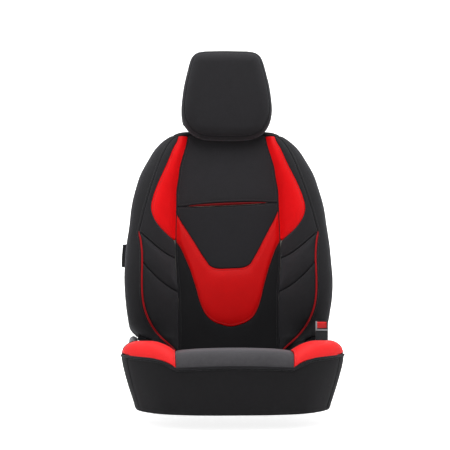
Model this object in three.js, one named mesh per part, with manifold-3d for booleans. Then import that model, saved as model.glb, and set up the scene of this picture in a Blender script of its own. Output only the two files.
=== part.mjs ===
// Front seat with its fitted cover set.
// Millimetres. +Z up, the seat faces -Y, +X is the buckle side.
// Origin: on the floor, under the middle of the tie plate that joins the two floor rails.
import * as THREE from 'three';
import { mergeVertices } from 'three/addons/utils/BufferGeometryUtils.js';
import Module from 'manifold-3d';

const wasm = await Module();
wasm.setup();

// ---------- driving dimensions ----------
const COVER = 4.0;            // cover laminate: face cloth, scrim foam and lining
const FOAM_OFF = 7.6;         // foam surface below the outer face of the cover
const SEAM_GAP = 0.65;        // half the gap between two sewn panels
const RECLINE = 15;           // lean of the backrest at rest, degrees from vertical
const HINGE_Y = 190, HINGE_Z = 95;   // recliner axis
const BACK_ROLL = 45;         // front edge radius of the backrest
const BACK_REAR = 46;         // rear face of the backrest behind the recliner axis
const BACK_REAR_ROLL = 28;
const POST_X = 62, POST_Y = -12, POST_R = 6;    // headrest posts, in the backrest's frame
const GUIDE_BORE = 6.6, GUIDE_R = 9.5;
const HEAD_TILT = 7;          // headrest leans forward of the backrest by this much
const HEAD_Y = -50, HEAD_V = 594;    // foot of the headrest's own frame, in the backrest's frame
const HEAD_ROLL = 38, HEAD_SEAM = 8;
const CUSHION_VALLEY = 142;   // seam between the cushion centre and its bolsters
const CUSHION_ROLL = 38;
const HEM_Z = 6;              // lower edge of the skirt above the floor
const PAN_Z0 = 50, PAN_T = 4; // seat pan
const FOAM_Z0 = 55;           // underside of the cushion foam
const RAIL_X = 178, RAIL_W = 46, RAIL_H = 22, RAIL_WALL = 2.5;
const LOWER_RAIL = [-98, 262], UPPER_RAIL = [-190, 138];
const WHEEL_R = 64;           // recline hand wheel

// ---------- small helpers ----------
const D2R = Math.PI / 180;
const interp = (xs, ys, x) => {
  if (x <= xs[0]) return ys[0];
  for (let i = 1; i < xs.length; i++) {
    if (x <= xs[i]) return ys[i - 1] + (ys[i] - ys[i - 1]) * (x - xs[i - 1]) / (xs[i] - xs[i - 1]);
  }
  return ys[ys.length - 1];
};
const clamp = (x, a, b) => Math.min(b, Math.max(a, x));
const mirror = (pts) => pts.map(([x, v]) => [-x, v]);

// distance from a point to a closed outline
const distanceTo = (poly) => (x, v) => {
  let best = 1e9;
  for (let i = 0; i < poly.length; i++) {
    const a = poly[i], b = poly[(i + 1) % poly.length];
    const dx = b[0] - a[0], dv = b[1] - a[1];
    const t = clamp(((x - a[0]) * dx + (v - a[1]) * dv) / (dx * dx + dv * dv), 0, 1);
    const ex = x - a[0] - dx * t, ev = v - a[1] - dv * t;
    best = Math.min(best, ex * ex + ev * ev);
  }
  return Math.sqrt(best);
};
const rollDrop = (d, r) => (d >= r ? 0 : r - Math.sqrt(Math.max(0, r * r - (r - Math.max(0, d)) ** 2)));

// smooth curve through plane points, measured by its length, 0 to 1
const path = (pts, smooth = true) => {
  let fine = pts;
  if (smooth && pts.length > 2) {
    const c = new THREE.CatmullRomCurve3(pts.map(([x, y]) => new THREE.Vector3(x, y, 0)), false, 'centripetal');
    fine = [];
    const n = (pts.length - 1) * 12;
    for (let i = 0; i <= n; i++) { const p = c.getPoint(i / n); fine.push([p.x, p.y]); }
  }
  const len = [0];
  for (let i = 1; i < fine.length; i++) len.push(len[i - 1] + Math.hypot(fine[i][0] - fine[i - 1][0], fine[i][1] - fine[i - 1][1]));
  const total = len[len.length - 1];
  const f = (t) => {
    const s = clamp(t, 0, 1) * total;
    let i = 1;
    while (i < len.length - 1 && len[i] < s) i++;
    const k = (s - len[i - 1]) / Math.max(1e-9, len[i] - len[i - 1]);
    return [fine[i - 1][0] + (fine[i][0] - fine[i - 1][0]) * k, fine[i - 1][1] + (fine[i][1] - fine[i - 1][1]) * k];
  };
  f.total = total;
  return f;
};

// a four-sided patch between curves: a(u) near, b(u) far, and the two ends; inset from its edges by the seam gap
const patch = (a, b, end0, end1, nu, nv, gap = SEAM_GAP, vs = null) => {
  const at = (u, v) => {
    const A = a(u), B = b(u), L = end0(v), Rr = end1(v);
    const p = [0, 1].map((k) => (1 - v) * A[k] + v * B[k] + (1 - u) * L[k] + u * Rr[k]
      - ((1 - u) * (1 - v) * a(0)[k] + u * (1 - v) * a(1)[k] + (1 - u) * v * b(0)[k] + u * v * b(1)[k]));
    return p;
  };
  const g = [];
  for (let i = 0; i <= nu; i++) {
    const row = [];
    for (let j = 0; j <= nv; j++) {
      let u = i / nu, v = vs ? vs[j] : j / nv;
      const p0 = at(u, 0), p1 = at(u, 1), q0 = at(0, v), q1 = at(1, v), qm = at(0.5, v);
      const lv = Math.max(4 * gap, Math.hypot(p1[0] - p0[0], p1[1] - p0[1]));
      const lu = Math.max(4 * gap, Math.hypot(qm[0] - q0[0], qm[1] - q0[1]) + Math.hypot(qm[0] - q1[0], qm[1] - q1[1]));
      u = gap / lu + u * (1 - 2 * gap / lu);
      v = gap / lv + v * (1 - 2 * gap / lv);
      row.push(at(u, v));
    }
    g.push(row);
  }
  return g;
};

// closed solid between two matching grids of points
const solidBetween = (P, Q) => {
  const ni = P.length, nj = P[0].length;
  const pos = [];
  for (const G of [P, Q]) for (const row of G) for (const p of row) pos.push(p.x, p.y, p.z);
  const id = (s, i, j) => s * ni * nj + i * nj + j;
  const tri = [];
  const quad = (a, b, c, d) => tri.push(a, b, c, a, c, d);
  for (let i = 0; i < ni - 1; i++) for (let j = 0; j < nj - 1; j++) {
    quad(id(0, i, j), id(0, i + 1, j), id(0, i + 1, j + 1), id(0, i, j + 1));
    quad(id(1, i, j), id(1, i, j + 1), id(1, i + 1, j + 1), id(1, i + 1, j));
  }
  for (let i = 0; i < ni - 1; i++) {
    quad(id(0, i, 0), id(1, i, 0), id(1, i + 1, 0), id(0, i + 1, 0));
    quad(id(0, i, nj - 1), id(0, i + 1, nj - 1), id(1, i + 1, nj - 1), id(1, i, nj - 1));
  }
  for (let j = 0; j < nj - 1; j++) {
    quad(id(0, 0, j), id(0, 0, j + 1), id(1, 0, j + 1), id(1, 0, j));
    quad(id(0, ni - 1, j), id(1, ni - 1, j), id(1, ni - 1, j + 1), id(0, ni - 1, j + 1));
  }
  let vol = 0;
  const v = (k) => new THREE.Vector3(pos[3 * k], pos[3 * k + 1], pos[3 * k + 2]);
  for (let k = 0; k < tri.length; k += 3) vol += v(tri[k]).dot(v(tri[k + 1]).cross(v(tri[k + 2])));
  if (vol < 0) for (let k = 0; k < tri.length; k += 3) [tri[k + 1], tri[k + 2]] = [tri[k + 2], tri[k + 1]];
  const g = new THREE.BufferGeometry();
  g.setAttribute('position', new THREE.Float32BufferAttribute(pos, 3));
  g.setIndex(tri);
  return g;
};

// inward-thickened copy of a grid of surface points, along the grid's own normals
const thicken = (P, inside, t) => {
  const ni = P.length, nj = P[0].length;
  return P.map((row, i) => row.map((p, j) => {
    const a = P[Math.min(ni - 1, i + 1)][j].clone().sub(P[Math.max(0, i - 1)][j]);
    const b = P[i][Math.min(nj - 1, j + 1)].clone().sub(P[i][Math.max(0, j - 1)]);
    const n = a.cross(b).normalize();
    if (n.dot(inside.clone().sub(p)) < 0) n.negate();
    return p.clone().addScaledVector(n, t);
  }));
};

const toMan = (geometry) => {
  let g = geometry.clone();
  g.deleteAttribute('normal'); g.deleteAttribute('uv');
  g = mergeVertices(g, 1e-4);
  return new wasm.Manifold(new wasm.Mesh({
    numProp: 3,
    vertProperties: new Float32Array(g.attributes.position.array),
    triVerts: new Uint32Array(g.index.array),
  }));
};
const fromMan = (man) => {
  const m = man.getMesh();
  const g = new THREE.BufferGeometry();
  const pos = [];
  for (let i = 0; i < m.vertProperties.length / m.numProp; i++) pos.push(...m.vertProperties.slice(i * m.numProp, i * m.numProp + 3));
  g.setAttribute('position', new THREE.Float32BufferAttribute(pos, 3));
  g.setIndex(Array.from(m.triVerts));
  return g;
};
const box = (x0, x1, y0, y1, z0, z1) => new THREE.BoxGeometry(x1 - x0, y1 - y0, z1 - z0).translate((x0 + x1) / 2, (y0 + y1) / 2, (z0 + z1) / 2);
const rodZ = (r, x, y, z0, z1, n = 20) => new THREE.CylinderGeometry(r, r, z1 - z0, n).rotateX(Math.PI / 2).translate(x, y, (z0 + z1) / 2);
const rodX = (r, x0, x1, y, z, n = 24) => new THREE.CylinderGeometry(r, r, x1 - x0, n).rotateZ(Math.PI / 2).translate((x0 + x1) / 2, y, z);
const cut = (a, ...bs) => bs.reduce((m, b) => m.subtract(toMan(b)), toMan(a));
const join = (a, ...bs) => bs.reduce((m, b) => m.add(toMan(b)), toMan(a));
// a flat profile given in (y, z), thick along x
const plateX = (pts, x0, x1) => {
  const s = new THREE.Shape(pts.map(([y, z]) => new THREE.Vector2(y, z)));
  const g = new THREE.ExtrudeGeometry(s, { depth: x1 - x0, bevelEnabled: false });
  return g.applyMatrix4(new THREE.Matrix4().set(0, 0, 1, x0, 1, 0, 0, 0, 0, 1, 0, 0, 0, 0, 0, 1));
};
// a flat profile given in (x, z), long along y
const barY = (pts, y0, y1) => {
  const s = new THREE.Shape(pts.map(([x, z]) => new THREE.Vector2(x, z)));
  const g = new THREE.ExtrudeGeometry(s, { depth: y1 - y0, bevelEnabled: false });
  return g.applyMatrix4(new THREE.Matrix4().set(1, 0, 0, 0, 0, 0, -1, y1, 0, 1, 0, 0, 0, 0, 0, 1));
};
// a tube of n sides along points
const tube = (pts, r, n = 8) => {
  const c = new THREE.CatmullRomCurve3(pts, false, 'centripetal');
  const s = new THREE.Shape();
  for (let i = 0; i < n; i++) { const a = 2 * Math.PI * i / n; i ? s.lineTo(r * Math.cos(a), r * Math.sin(a)) : s.moveTo(r, 0); }
  return new THREE.ExtrudeGeometry(s, { steps: pts.length - 1, extrudePath: c, bevelEnabled: false });
};

const group = new THREE.Group();
group.name = 'seat_cover_set';
const PALETTE = {
  black: [0x1b1c1f, 0.85, 0], black2: [0x232427, 0.8, 0], insert: [0x2b2c2f, 0.75, 0], red: [0xa8060d, 0.45, 0],
  piping: [0x8f0a10, 0.5, 0], foam: [0x9a968a, 0.95, 0], steel: [0x4b4f55, 0.45, 0.9], rail: [0x8a8d90, 0.4, 0.95],
  chrome: [0xc8cacc, 0.2, 1], plastic: [0x18181a, 0.5, 0], buckle: [0x26272a, 0.45, 0], button: [0xc11a12, 0.4, 0],
  silver: [0xb4b5b3, 0.4, 0.2], tag: [0x101012, 0.7, 0],
};
const add = (name, geometry, key, matrix = null) => {
  const [color, roughness, metalness] = PALETTE[key];
  const g = geometry.index ? geometry.toNonIndexed() : geometry;
  if (matrix) g.applyMatrix4(matrix);
  g.computeVertexNormals();
  const m = new THREE.Mesh(g, new THREE.MeshStandardMaterial({ color, roughness, metalness }));
  m.name = name;
  group.add(m);
  return m;
};
const V3 = (x, y, z) => new THREE.Vector3(x, y, z);

// ================= floor rails =================
const railProfile = (cx) => {
  const h = RAIL_W / 2, w = RAIL_WALL;
  return [[-h, 0], [h, 0], [h, RAIL_H], [8, RAIL_H], [8, RAIL_H - w], [h - w, RAIL_H - w], [h - w, w],
    [-h + w, w], [-h + w, RAIL_H - w], [-8, RAIL_H - w], [-8, RAIL_H], [-h, RAIL_H]].map(([x, z]) => [x + cx, z]);
};
const upperProfile = (cx) => [[-17, 3.2], [17, 3.2], [17, 6.7], [5, 6.7], [5, PAN_Z0 - 4], [19, PAN_Z0 - 4], [19, PAN_Z0 - 0.4],
  [-19, PAN_Z0 - 0.4], [-19, PAN_Z0 - 4], [-5, PAN_Z0 - 4], [-5, 6.7], [-17, 6.7]].map(([x, z]) => [x + cx, z]);
for (const [side, s] of [['left', -1], ['right', 1]]) {
  add(`lower_rail_${side}`, barY(railProfile(s * RAIL_X), ...LOWER_RAIL), 'rail');
  add(`upper_rail_${side}`, barY(upperProfile(s * RAIL_X), ...UPPER_RAIL), 'steel');
}
const tieX = RAIL_X - RAIL_W / 2 - 0.3;
add('track_tie', box(-tieX, tieX, -60, 60, 0, 4), 'rail');

// ================= cushion =================
const PLAN = [[0, -262], [60, -261.5], [110, -258], [151, -250], [189, -236], [222, -214], [249, -186], [266, -158], [274.5, -128], [276, -95],
  [275, -50], [268, -5], [253, 14], [232, 28], [213, 42], [208, 60], [207, 90], [202, 108], [188, 116], [120, 116], [0, 116]];
const planPoly = [...PLAN, ...mirror(PLAN.slice(1, -1)).reverse()];
const planDist = distanceTo(planPoly);
const cushionRoll = (y) => interp([40, 116], [CUSHION_ROLL, 14], y);
const cushionBase = (x, y) => {
  const ax = Math.abs(x);
  const tc = interp([-262, -215, -150, -60, 40, 116], [152, 154, 152, 142, 126, 112], y);
  const crown = 5 * clamp(1 - (x / CUSHION_VALLEY) ** 2, 0, 1);
  const pc = interp([-262, -150, -60, 20, 70, 116], [20, 22, 24, 21, 12, 4], y);
  const s = clamp((ax - CUSHION_VALLEY) / 62, 0, 1);
  return tc + crown + pc * Math.sin(Math.PI / 2 * s);
};
const cushionTop = (x, y, off = 0) => {
  const r = cushionRoll(y) - off;
  return cushionBase(x, y) - off - rollDrop(planDist(x, y) - off, r);
};
// lower the walls lean in toward the floor
const skirtPoint = (x, y, z) => {
  const k = clamp((139 - z) / 133, 0, 1) ** 1.25 * clamp((24 - y) / 24, 0, 1);
  const front = clamp((-y - 100) / 160, 0, 1);
  return V3(x * (1 - 0.136 * k), y + 12 * k * front, z);
};
const cushionNormal = (x, y) => {
  const e = 0.3, sx = Math.sign(x) || 1;
  // differences are taken toward the middle of the bolster or of the centre panel, never across the valley seam
  const ex = Math.abs(x) > CUSHION_VALLEY ? e : -e;
  const inX = planDist(x + sx * ex, y) < planDist(x, y) && planDist(x, y) < 1 ? -sx * Math.abs(e) : sx * ex;
  const gx = (cushionTop(x + inX, y) - cushionTop(x, y)) / inX;
  const ey = y < -100 ? e : -e;
  const gy = (cushionTop(x, y + ey) - cushionTop(x, y)) / ey;
  return V3(-gx, -gy, 1).normalize();
};
const cushionPanel = (grid, t = COVER) => {
  const P = grid.map((r) => r.map(([x, y]) => V3(x, y, cushionTop(x, y))));
  const Q = grid.map((r, i) => r.map(([x, y], j) => P[i][j].clone().addScaledVector(cushionNormal(x, y), -t)));
  return solidBetween(P, Q);
};
// spacing that is dense where the panel rolls over the front edge
const ROLLS = [0, 0.018, 0.07, 0.17, 0.5, 0.8, 0.93, 1];
const frontY = (x) => {
  for (let i = 1; i < PLAN.length; i++) if (PLAN[i][0] >= Math.abs(x) && PLAN[i][1] < 0) {
    const a = PLAN[i - 1], b = PLAN[i];
    return a[1] + (b[1] - a[1]) * (Math.abs(x) - a[0]) / (b[0] - a[0]);
  }
  return -262;
};
{
  // centre panel of the cushion: from the double seam at the front roll to the back edge
  const cv = CUSHION_VALLEY;
  const xs = [-1, -0.6, -0.2, 0.2, 0.6, 1].map((k) => k * (cv - SEAM_GAP));
  const grid = xs.map((x) => ROLLS.map((t) => {
    const y0 = frontY(x) + 0.9, y1 = 116 - 0.9;
    return [x, y0 + (y1 - y0) * t ** 1.15];
  }));
  add('cushion_center_cover', cushionPanel(grid), 'insert');
  const foam = [-1, -0.6, -0.2, 0.2, 0.6, 1].map((k) => k * (cv - 2)).map((x) => ROLLS.map((t) => {
    const y0 = frontY(x) + FOAM_OFF + 0.3, y1 = 116 - FOAM_OFF;
    return [x, y0 + (y1 - y0) * t ** 1.15];
  }));
  add('cushion_foam_center', solidBetween(
    foam.map((r) => r.map(([x, y]) => V3(x, y, cushionTop(x, y, FOAM_OFF)))),
    foam.map((r) => r.map(([x, y], j) => V3(x, y + 8 * (1 - ROLLS[j]) ** 3, FOAM_Z0)))), 'foam');
}
const edgeX = (y, off) => { // half width of the plan at y, taken in by off
  let lo = CUSHION_VALLEY, hi = 282;
  const inside = (x) => { // inside the outline and at least off away from it
    let c = false;
    for (let i = 0, j = planPoly.length - 1; i < planPoly.length; j = i++) {
      const [xi, yi] = planPoly[i], [xj, yj] = planPoly[j];
      if ((yi > y) !== (yj > y) && x < (xj - xi) * (y - yi) / (yj - yi) + xi) c = !c;
    }
    return c && planDist(x, y) >= off;
  };
  for (let k = 0; k < 40; k++) { const m = (lo + hi) / 2; inside(m) ? lo = m : hi = m; }
  return lo;
};
for (const [side, s] of [['left', -1], ['right', 1]]) {
  const m = (p) => [s * p[0], p[1]];
  const cv = CUSHION_VALLEY;
  // red corner panel
  const a = path([[cv, -120], [cv, -190], [cv, frontY(cv) + 0.6]], false);           // along the valley seam, forward
  const b = path([[274.4, -112], [273, -128], [265, -157], [254.6, -176]], true);       // along the outer edge, forward
  const e0 = path([[cv, -120], [210, -118], [274.4, -112]], false);                  // rear edge
  const e1 = path([[cv, frontY(cv) + 0.6], [189, -235.2], [221, -213.4], [247, -187], [254.6, -176]], true);
  // the last rows and columns are drawn close to the outline so that the panel turns fully over the edge
  const warp = (t) => 1 - (1 - t) ** 1.7;
  const at = (u, v) => {
    const A = a(u), B = b(u), L = e0(v), R = e1(v);
    return [0, 1].map((k) => (1 - v) * A[k] + v * B[k] + (1 - u) * L[k] + u * R[k]
      - ((1 - u) * (1 - v) * a(0)[k] + u * (1 - v) * a(1)[k] + (1 - u) * v * b(0)[k] + u * v * b(1)[k]));
  };
  const red = [];
  for (let i = 0; i <= 6; i++) {
    const row = [];
    for (let j = 0; j <= 6; j++) {
      const eps = 0.006;
      const u = eps + warp(i / 6) * (1 - 1.5 * eps), v = eps + warp(j / 6) * (1 - 1.5 * eps);
      row.push(m(at(u, v)));
    }
    red.push(row);
  }
  add(`cushion_corner_${side}`, cushionPanel(red), 'red');
  // black bolster cover behind it
  const rows = [-118, -50, -6, 14, 28, 44, 96, 107];
  const blk = rows.map((y, i) => {
    const x0 = cv + SEAM_GAP, x1 = edgeX(y, 0.9);
    return [0, 0.3, 0.6, 0.82, 0.94, 1].map((t) => {
      const x = x0 + (x1 - x0) * t;
      return m([x, i === 0 ? Math.max(-118.4, e0((x - cv) / 132.4)[1] + 1.3) : y]);
    });
  });
  add(`cushion_bolster_cover_${side}`, cushionPanel(blk), 'black2');
  const foamRows = [-232, -218, -196, -165, -120, -30, 0, 14, 30, 46, 98, 106];
  const fo = foamRows.map((y) => {
    const x0 = cv + 2, x1 = Math.max(x0 + 6, edgeX(y, FOAM_OFF + 0.8));
    return [0, 0.3, 0.62, 0.86, 0.96, 1].map((t) => m([x0 + (x1 - x0) * t, y]));
  });
  add(`cushion_foam_bolster_${side}`, solidBetween(
    fo.map((r) => r.map(([x, y]) => V3(x, y, cushionTop(x, y, FOAM_OFF)))),
    fo.map((r) => r.map(([x, y]) => {
      const k = skirtPoint(x, y, FOAM_Z0), w = clamp((Math.abs(x) - cv - 2) / 60, 0, 1);
      return V3(x + (k.x - x) * w * 1.1, k.y, FOAM_Z0);
    }))), 'foam');
}
// skirts hang from the panels' lower seam to just above the floor
const skirt = (pts, zs = [0, 0.3, 0.65, 1]) => {
  const P = pts.map(([x, y]) => {
    const zt = cushionBase(x, y) - cushionRoll(y) - 1.6;
    const hem = HEM_Z + 51 * clamp((y + 5) / 22, 0, 1);   // cut away around the recliner and the buckle
    return zs.map((k) => skirtPoint(x, y, zt + (hem - zt) * k));
  });
  return solidBetween(P, thicken(P, V3(0, -60, 60), COVER));
};
const frontRun = path([[-259.5, -170], [-249, -186], [-222, -214], [-189, -236], [-151, -250], [-110, -258], [-60, -261.5], [0, -262],
  [60, -261.5], [110, -258], [151, -250], [189, -236], [222, -214], [249, -186], [259.5, -170]], true);
add('cushion_front_skirt', skirt(Array.from({ length: 17 }, (_, i) => frontRun(i / 16))), 'black');
for (const [side, s] of [['left', -1], ['right', 1]]) {
  const run = path([[260.6, -167.5], [266.5, -157], [274.5, -128], [276, -95], [275, -50], [268, -5], [253, 14], [232, 28], [213, 42], [208, 60], [207, 88]], true);
  add(`cushion_side_skirt_${side}`, skirt(Array.from({ length: 14 }, (_, i) => { const p = run(i / 13); return [s * p[0], p[1]]; })), 'black');
}
{
  // flap that hangs down the back of the cushion
  const xs = [-186, -120, -60, 0, 60, 120, 186];
  const P = xs.map((x) => [96.5, 85, 70, 56].map((z) => V3(x, 116, z)));
  add('cushion_tuck_flap', solidBetween(P, P.map((r) => r.map((p) => p.clone().add(V3(0, -3.4, 0))))), 'black');
}
// seat pan: flat pressing under the foam
{
  const out = [[-150, -222], [150, -222], [196, -190], [205, -150], [205, 44], [212, 50], [212, 108], [-212, 108], [-212, 50], [-205, 44], [-205, -150], [-196, -190]];
  const s = new THREE.Shape(out.map(([x, y]) => new THREE.Vector2(x, y)));
  for (const hx of [-70, 70]) {
    const h = new THREE.Path();
    h.absellipse(hx, -60, 36, 70, 0, 2 * Math.PI);
    s.holes.push(h);
  }
  add('seat_pan', new THREE.ExtrudeGeometry(s, { depth: PAN_T, bevelEnabled: false, curveSegments: 10 }).translate(0, 0, PAN_Z0), 'steel');
}
// recliner brackets with their gear housing
const bracketPts = () => {
  const p = [[52, 44], [52, 66], [104, 84], [150, 108]];
  for (let a = 150; a >= -100; a -= 25) p.push([HINGE_Y + 32 * Math.cos(a * D2R), HINGE_Z + 32 * Math.sin(a * D2R)]);
  p.push([140, 44]);
  return p;
};
for (const [side, s] of [['left', -1], ['right', 1]]) {
  const x0 = s > 0 ? 212.4 : -217.4, x1 = s > 0 ? 217.4 : -212.4;
  const d0 = s > 0 ? 207.6 : -213, d1 = s > 0 ? 213 : -207.6;
  add(`recliner_bracket_${side}`, fromMan(join(plateX(bracketPts(), x0, x1), rodX(26, d0, d1, HINGE_Y, HINGE_Z, 20))), 'steel');
}
// belt buckle on its stalk
const BX = 237.5, BY = 63;
add('buckle_stalk', barY([[217.8, 52], [221.8, 52], [221.8, 88], [239.5, 134], [239.5, 150.6], [235.5, 150.6], [235.5, 135], [217.8, 89]], BY - 10, BY + 10), 'steel');
{
  const shell = box(BX - 16, BX + 16, BY - 12.5, BY + 12.5, 151, 207);
  const edge = (sx, sy) => { // bevelled upright corners
    const w = new THREE.BoxGeometry(7, 7, 70).rotateZ(Math.PI / 4);
    return w.translate(BX + sx * 18, BY + sy * 14.5, 180);
  };
  add('buckle_housing', fromMan(cut(shell,
    box(BX - 13, BX + 13, BY - 9.8, BY + 1.6, 177, 210),
    box(BX - 13, BX + 13, BY - 14, BY - 9, 190, 210),
    box(BX - 11.5, BX + 11.5, BY + 4, BY + 9.2, 163, 210),
    edge(1, 1), edge(1, -1), edge(-1, 1), edge(-1, -1))), 'buckle');
  const b = box(BX - 12.6, BX + 12.6, BY - 9.4, BY + 1.2, 183, 205.5);
  const slope = new THREE.BoxGeometry(30, 20, 8).rotateX(24 * D2R).translate(BX, BY - 10, 207.5);
  add('buckle_button', fromMan(cut(b, slope)), 'button');
}
// ribbed recline hand wheel
{
  const s = new THREE.Shape();
  const lobes = 26, n = lobes * 2;
  for (let i = 0; i < n; i++) {
    const a = 2 * Math.PI * i / n, r = WHEEL_R - 6.5 - (i % 2 ? 2.4 : 0);
    i ? s.lineTo(r * Math.cos(a), r * Math.sin(a)) : s.moveTo(r, 0);
  }
  const g = new THREE.ExtrudeGeometry(s, { depth: 10, bevelEnabled: true, bevelThickness: 7, bevelSize: 6.5, bevelSegments: 1, curveSegments: 1 });
  g.rotateY(Math.PI / 2).translate(-258, HINGE_Y, HINGE_Z);   // from x = -265 to x = -241
  add('recline_wheel', fromMan(join(g, rodX(15, -242, -217.8, HINGE_Y, HINGE_Z, 16), rodX(26, -268, -264, HINGE_Y, HINGE_Z, 20))), 'silver');
}

// ================= backrest, in its own frame: x across, y depth, v up along the back =================
const BACK = new THREE.Matrix4().makeTranslation(0, HINGE_Y, HINGE_Z).multiply(new THREE.Matrix4().makeRotationX(-RECLINE * D2R));
const OUTLINE = [[0, -22], [70, -22], [140, -22], [180, -17], [196, -2], [200, 25], [205, 44], [230, 56], [247, 67.5], [261, 83], [267, 104],
  [270.5, 125], [273.8, 150], [275.3, 200], [274.2, 250], [270.3, 300], [264.6, 350], [258.8, 400], [249.3, 450], [235, 500], [212.5, 550],
  [197, 577], [184, 594], [173.5, 605], [160, 616.5], [150, 622.5], [137, 628.5], [120, 633.5], [95, 636.5], [60, 637.5], [0, 638]];
const backPoly = [...OUTLINE, ...mirror(OUTLINE.slice(1, -1)).reverse()];
const backDist = distanceTo(backPoly);
const halfW = (v) => interp(OUTLINE.slice(4).map((p) => p[1]), OUTLINE.slice(4).map((p) => p[0]), v);
const VALLEY_V = [-22, 16, 95, 160, 215, 262, 309, 400, 448, 472, 495, 518, 541, 564, 587, 613, 638];
const VALLEY_X = [132, 132, 131, 131, 135, 138.5, 139, 137.5, 137, 134, 130.5, 128, 122.5, 116, 110, 106, 104];
const valley = (v) => interp(VALLEY_V, VALLEY_X, v);
const backBase = (x, v) => {
  const ax = Math.abs(x), xs = valley(v);
  const c = interp([-22, 50, 110, 150, 190, 230, 290, 350, 450, 550, 638], [60, 67, 73, 76, 77, 75.5, 71, 66, 58, 52, 48], v);
  const p = interp([-22, 40, 70, 100, 130, 160, 200, 250, 340, 420, 470, 500, 530, 560, 590, 610, 638],
    [4, 16, 27, 40, 48, 54, 57, 58, 57.5, 54, 48, 42, 34, 25, 16, 11, 6], v);
  const crest = Math.max(halfW(v) * 0.86, xs + 45);
  return c + 7 * clamp(1 - (ax / xs) ** 2, 0, 1) + p * Math.sin(Math.PI / 2 * clamp((ax - xs) / (crest - xs), 0, 1));
};
const backFront = (x, v, off = 0) => -(backBase(x, v) - off - rollDrop(backDist(x, v) - off, BACK_ROLL - off));
const backRearBase = (x, v) => BACK_REAR + 5 * clamp(1 - (x / 200) ** 2, 0, 1);
const backRear = (x, v, off = 0) => backRearBase(x, v) - off - rollDrop(backDist(x, v) - off, BACK_REAR_ROLL - off);
const backNormal = (x, v) => {
  const e = 0.3, sx = Math.sign(x) || 1, out = Math.abs(x) > valley(v) ? 1 : -1;
  const ex = sx * out * e, ev = v > 300 ? -e : e;
  const gx = (backFront(x + ex, v) - backFront(x, v)) / ex, gv = (backFront(x, v + ev) - backFront(x, v)) / ev;
  return V3(gx, -1, gv).normalize();
};
const backPanel = (grid, t = COVER) => {
  const P = grid.map((r) => r.map(([x, v]) => V3(x, backFront(x, v), v)));
  const Q = grid.map((r, i) => r.map(([x, v], j) => P[i][j].clone().addScaledVector(backNormal(x, v), -t)));
  return solidBetween(P, Q);
};
const valleyPath = (s, v0, v1) => {
  const vs = [v0, ...VALLEY_V.filter((v) => v > Math.min(v0, v1) + 1 && v < Math.max(v0, v1) - 1).sort((a, b) => (v1 > v0 ? a - b : b - a)), v1];
  return path(vs.map((v) => [s * valley(v), v]), false);
};
const SLIT_L = 407, SLIT_R = 420;      // the chest slit runs slightly uphill to the right
const slitV = (x) => SLIT_L + (SLIT_R - SLIT_L) * (x + 137.5) / 275;
const slitHalf = (x) => 5.2 * Math.max(0, 1 - (x / 128) ** 2);
const slitRun = (sign) => path([-137.5, -128, -96, -64, -32, 0, 32, 64, 96, 128, 137.5].map((x) => [x, slitV(x) + sign * slitHalf(x)]), true);
const skew = (x) => 5.5 * x / 138;
const vIn = [[137, 391.5], [126, 369], [113, 346], [100.5, 323.3], [88, 300.6], [76, 278], [62.5, 255.5], [53, 241.5], [36, 233.5], [0, 232]];
const vOut = [[138, 309], [126.8, 290], [117.6, 267.5], [109, 245], [101.5, 222.7], [95, 200], [89, 179], [82.5, 152], [73.5, 125.5], [62.5, 105.5], [47, 91], [22, 80.5], [0, 76.5]];
const both = (pts, sk = 0) => [...mirror(pts), ...pts.slice(0, -1).reverse()].map(([x, v]) => [x + 5 * (1 - Math.min(1, (x / 137) ** 2)), v + sk * skew(x)]);
const vInner = path(both(vIn, 1)), vOuter = path(both(vOut));
const topSeam = path([[-106, 617], [-60, 619], [0, 620], [60, 619], [106, 617]]);
const jIn = [vInner(0)[1], vInner(1)[1]], jOut = [vOuter(0)[1], vOuter(1)[1]];
const slitUp = slitRun(1), slitLow = slitRun(-1);
add('back_center_upper', backPanel(patch(topSeam, slitUp, valleyPath(-1, 617, SLIT_L), valleyPath(1, 617, SLIT_R), 8, 6)), 'black2', BACK);
add('back_center_insert', backPanel(patch(slitLow, vInner, valleyPath(-1, SLIT_L, jIn[0]), valleyPath(1, SLIT_R, jIn[1]), 16, 3)), 'insert', BACK);
add('back_v_panel', backPanel(patch(vInner, vOuter, valleyPath(-1, jIn[0], jOut[0]), valleyPath(1, jIn[1], jOut[1]), 16, 3)), 'red', BACK);
add('back_lumbar_panel', backPanel(patch(vOuter, path([[-132, -8], [0, -8], [132, -8]], false), valleyPath(-1, jOut[0], -8), valleyPath(1, jOut[1], -8), 16, 5, SEAM_GAP, [0, 0.4, 0.68, 0.84, 0.94, 1])), 'insert', BACK);
// rolled trim in the slit
{
  const pts = [];
  for (let i = 0; i <= 8; i++) { const x = -92 + 184 * i / 8; pts.push(V3(x, backFront(x, slitV(x)) + 0.6, slitV(x))); }
  add('chest_slit_trim', tube(pts, 2.1, 6), 'piping', BACK);
}
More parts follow.
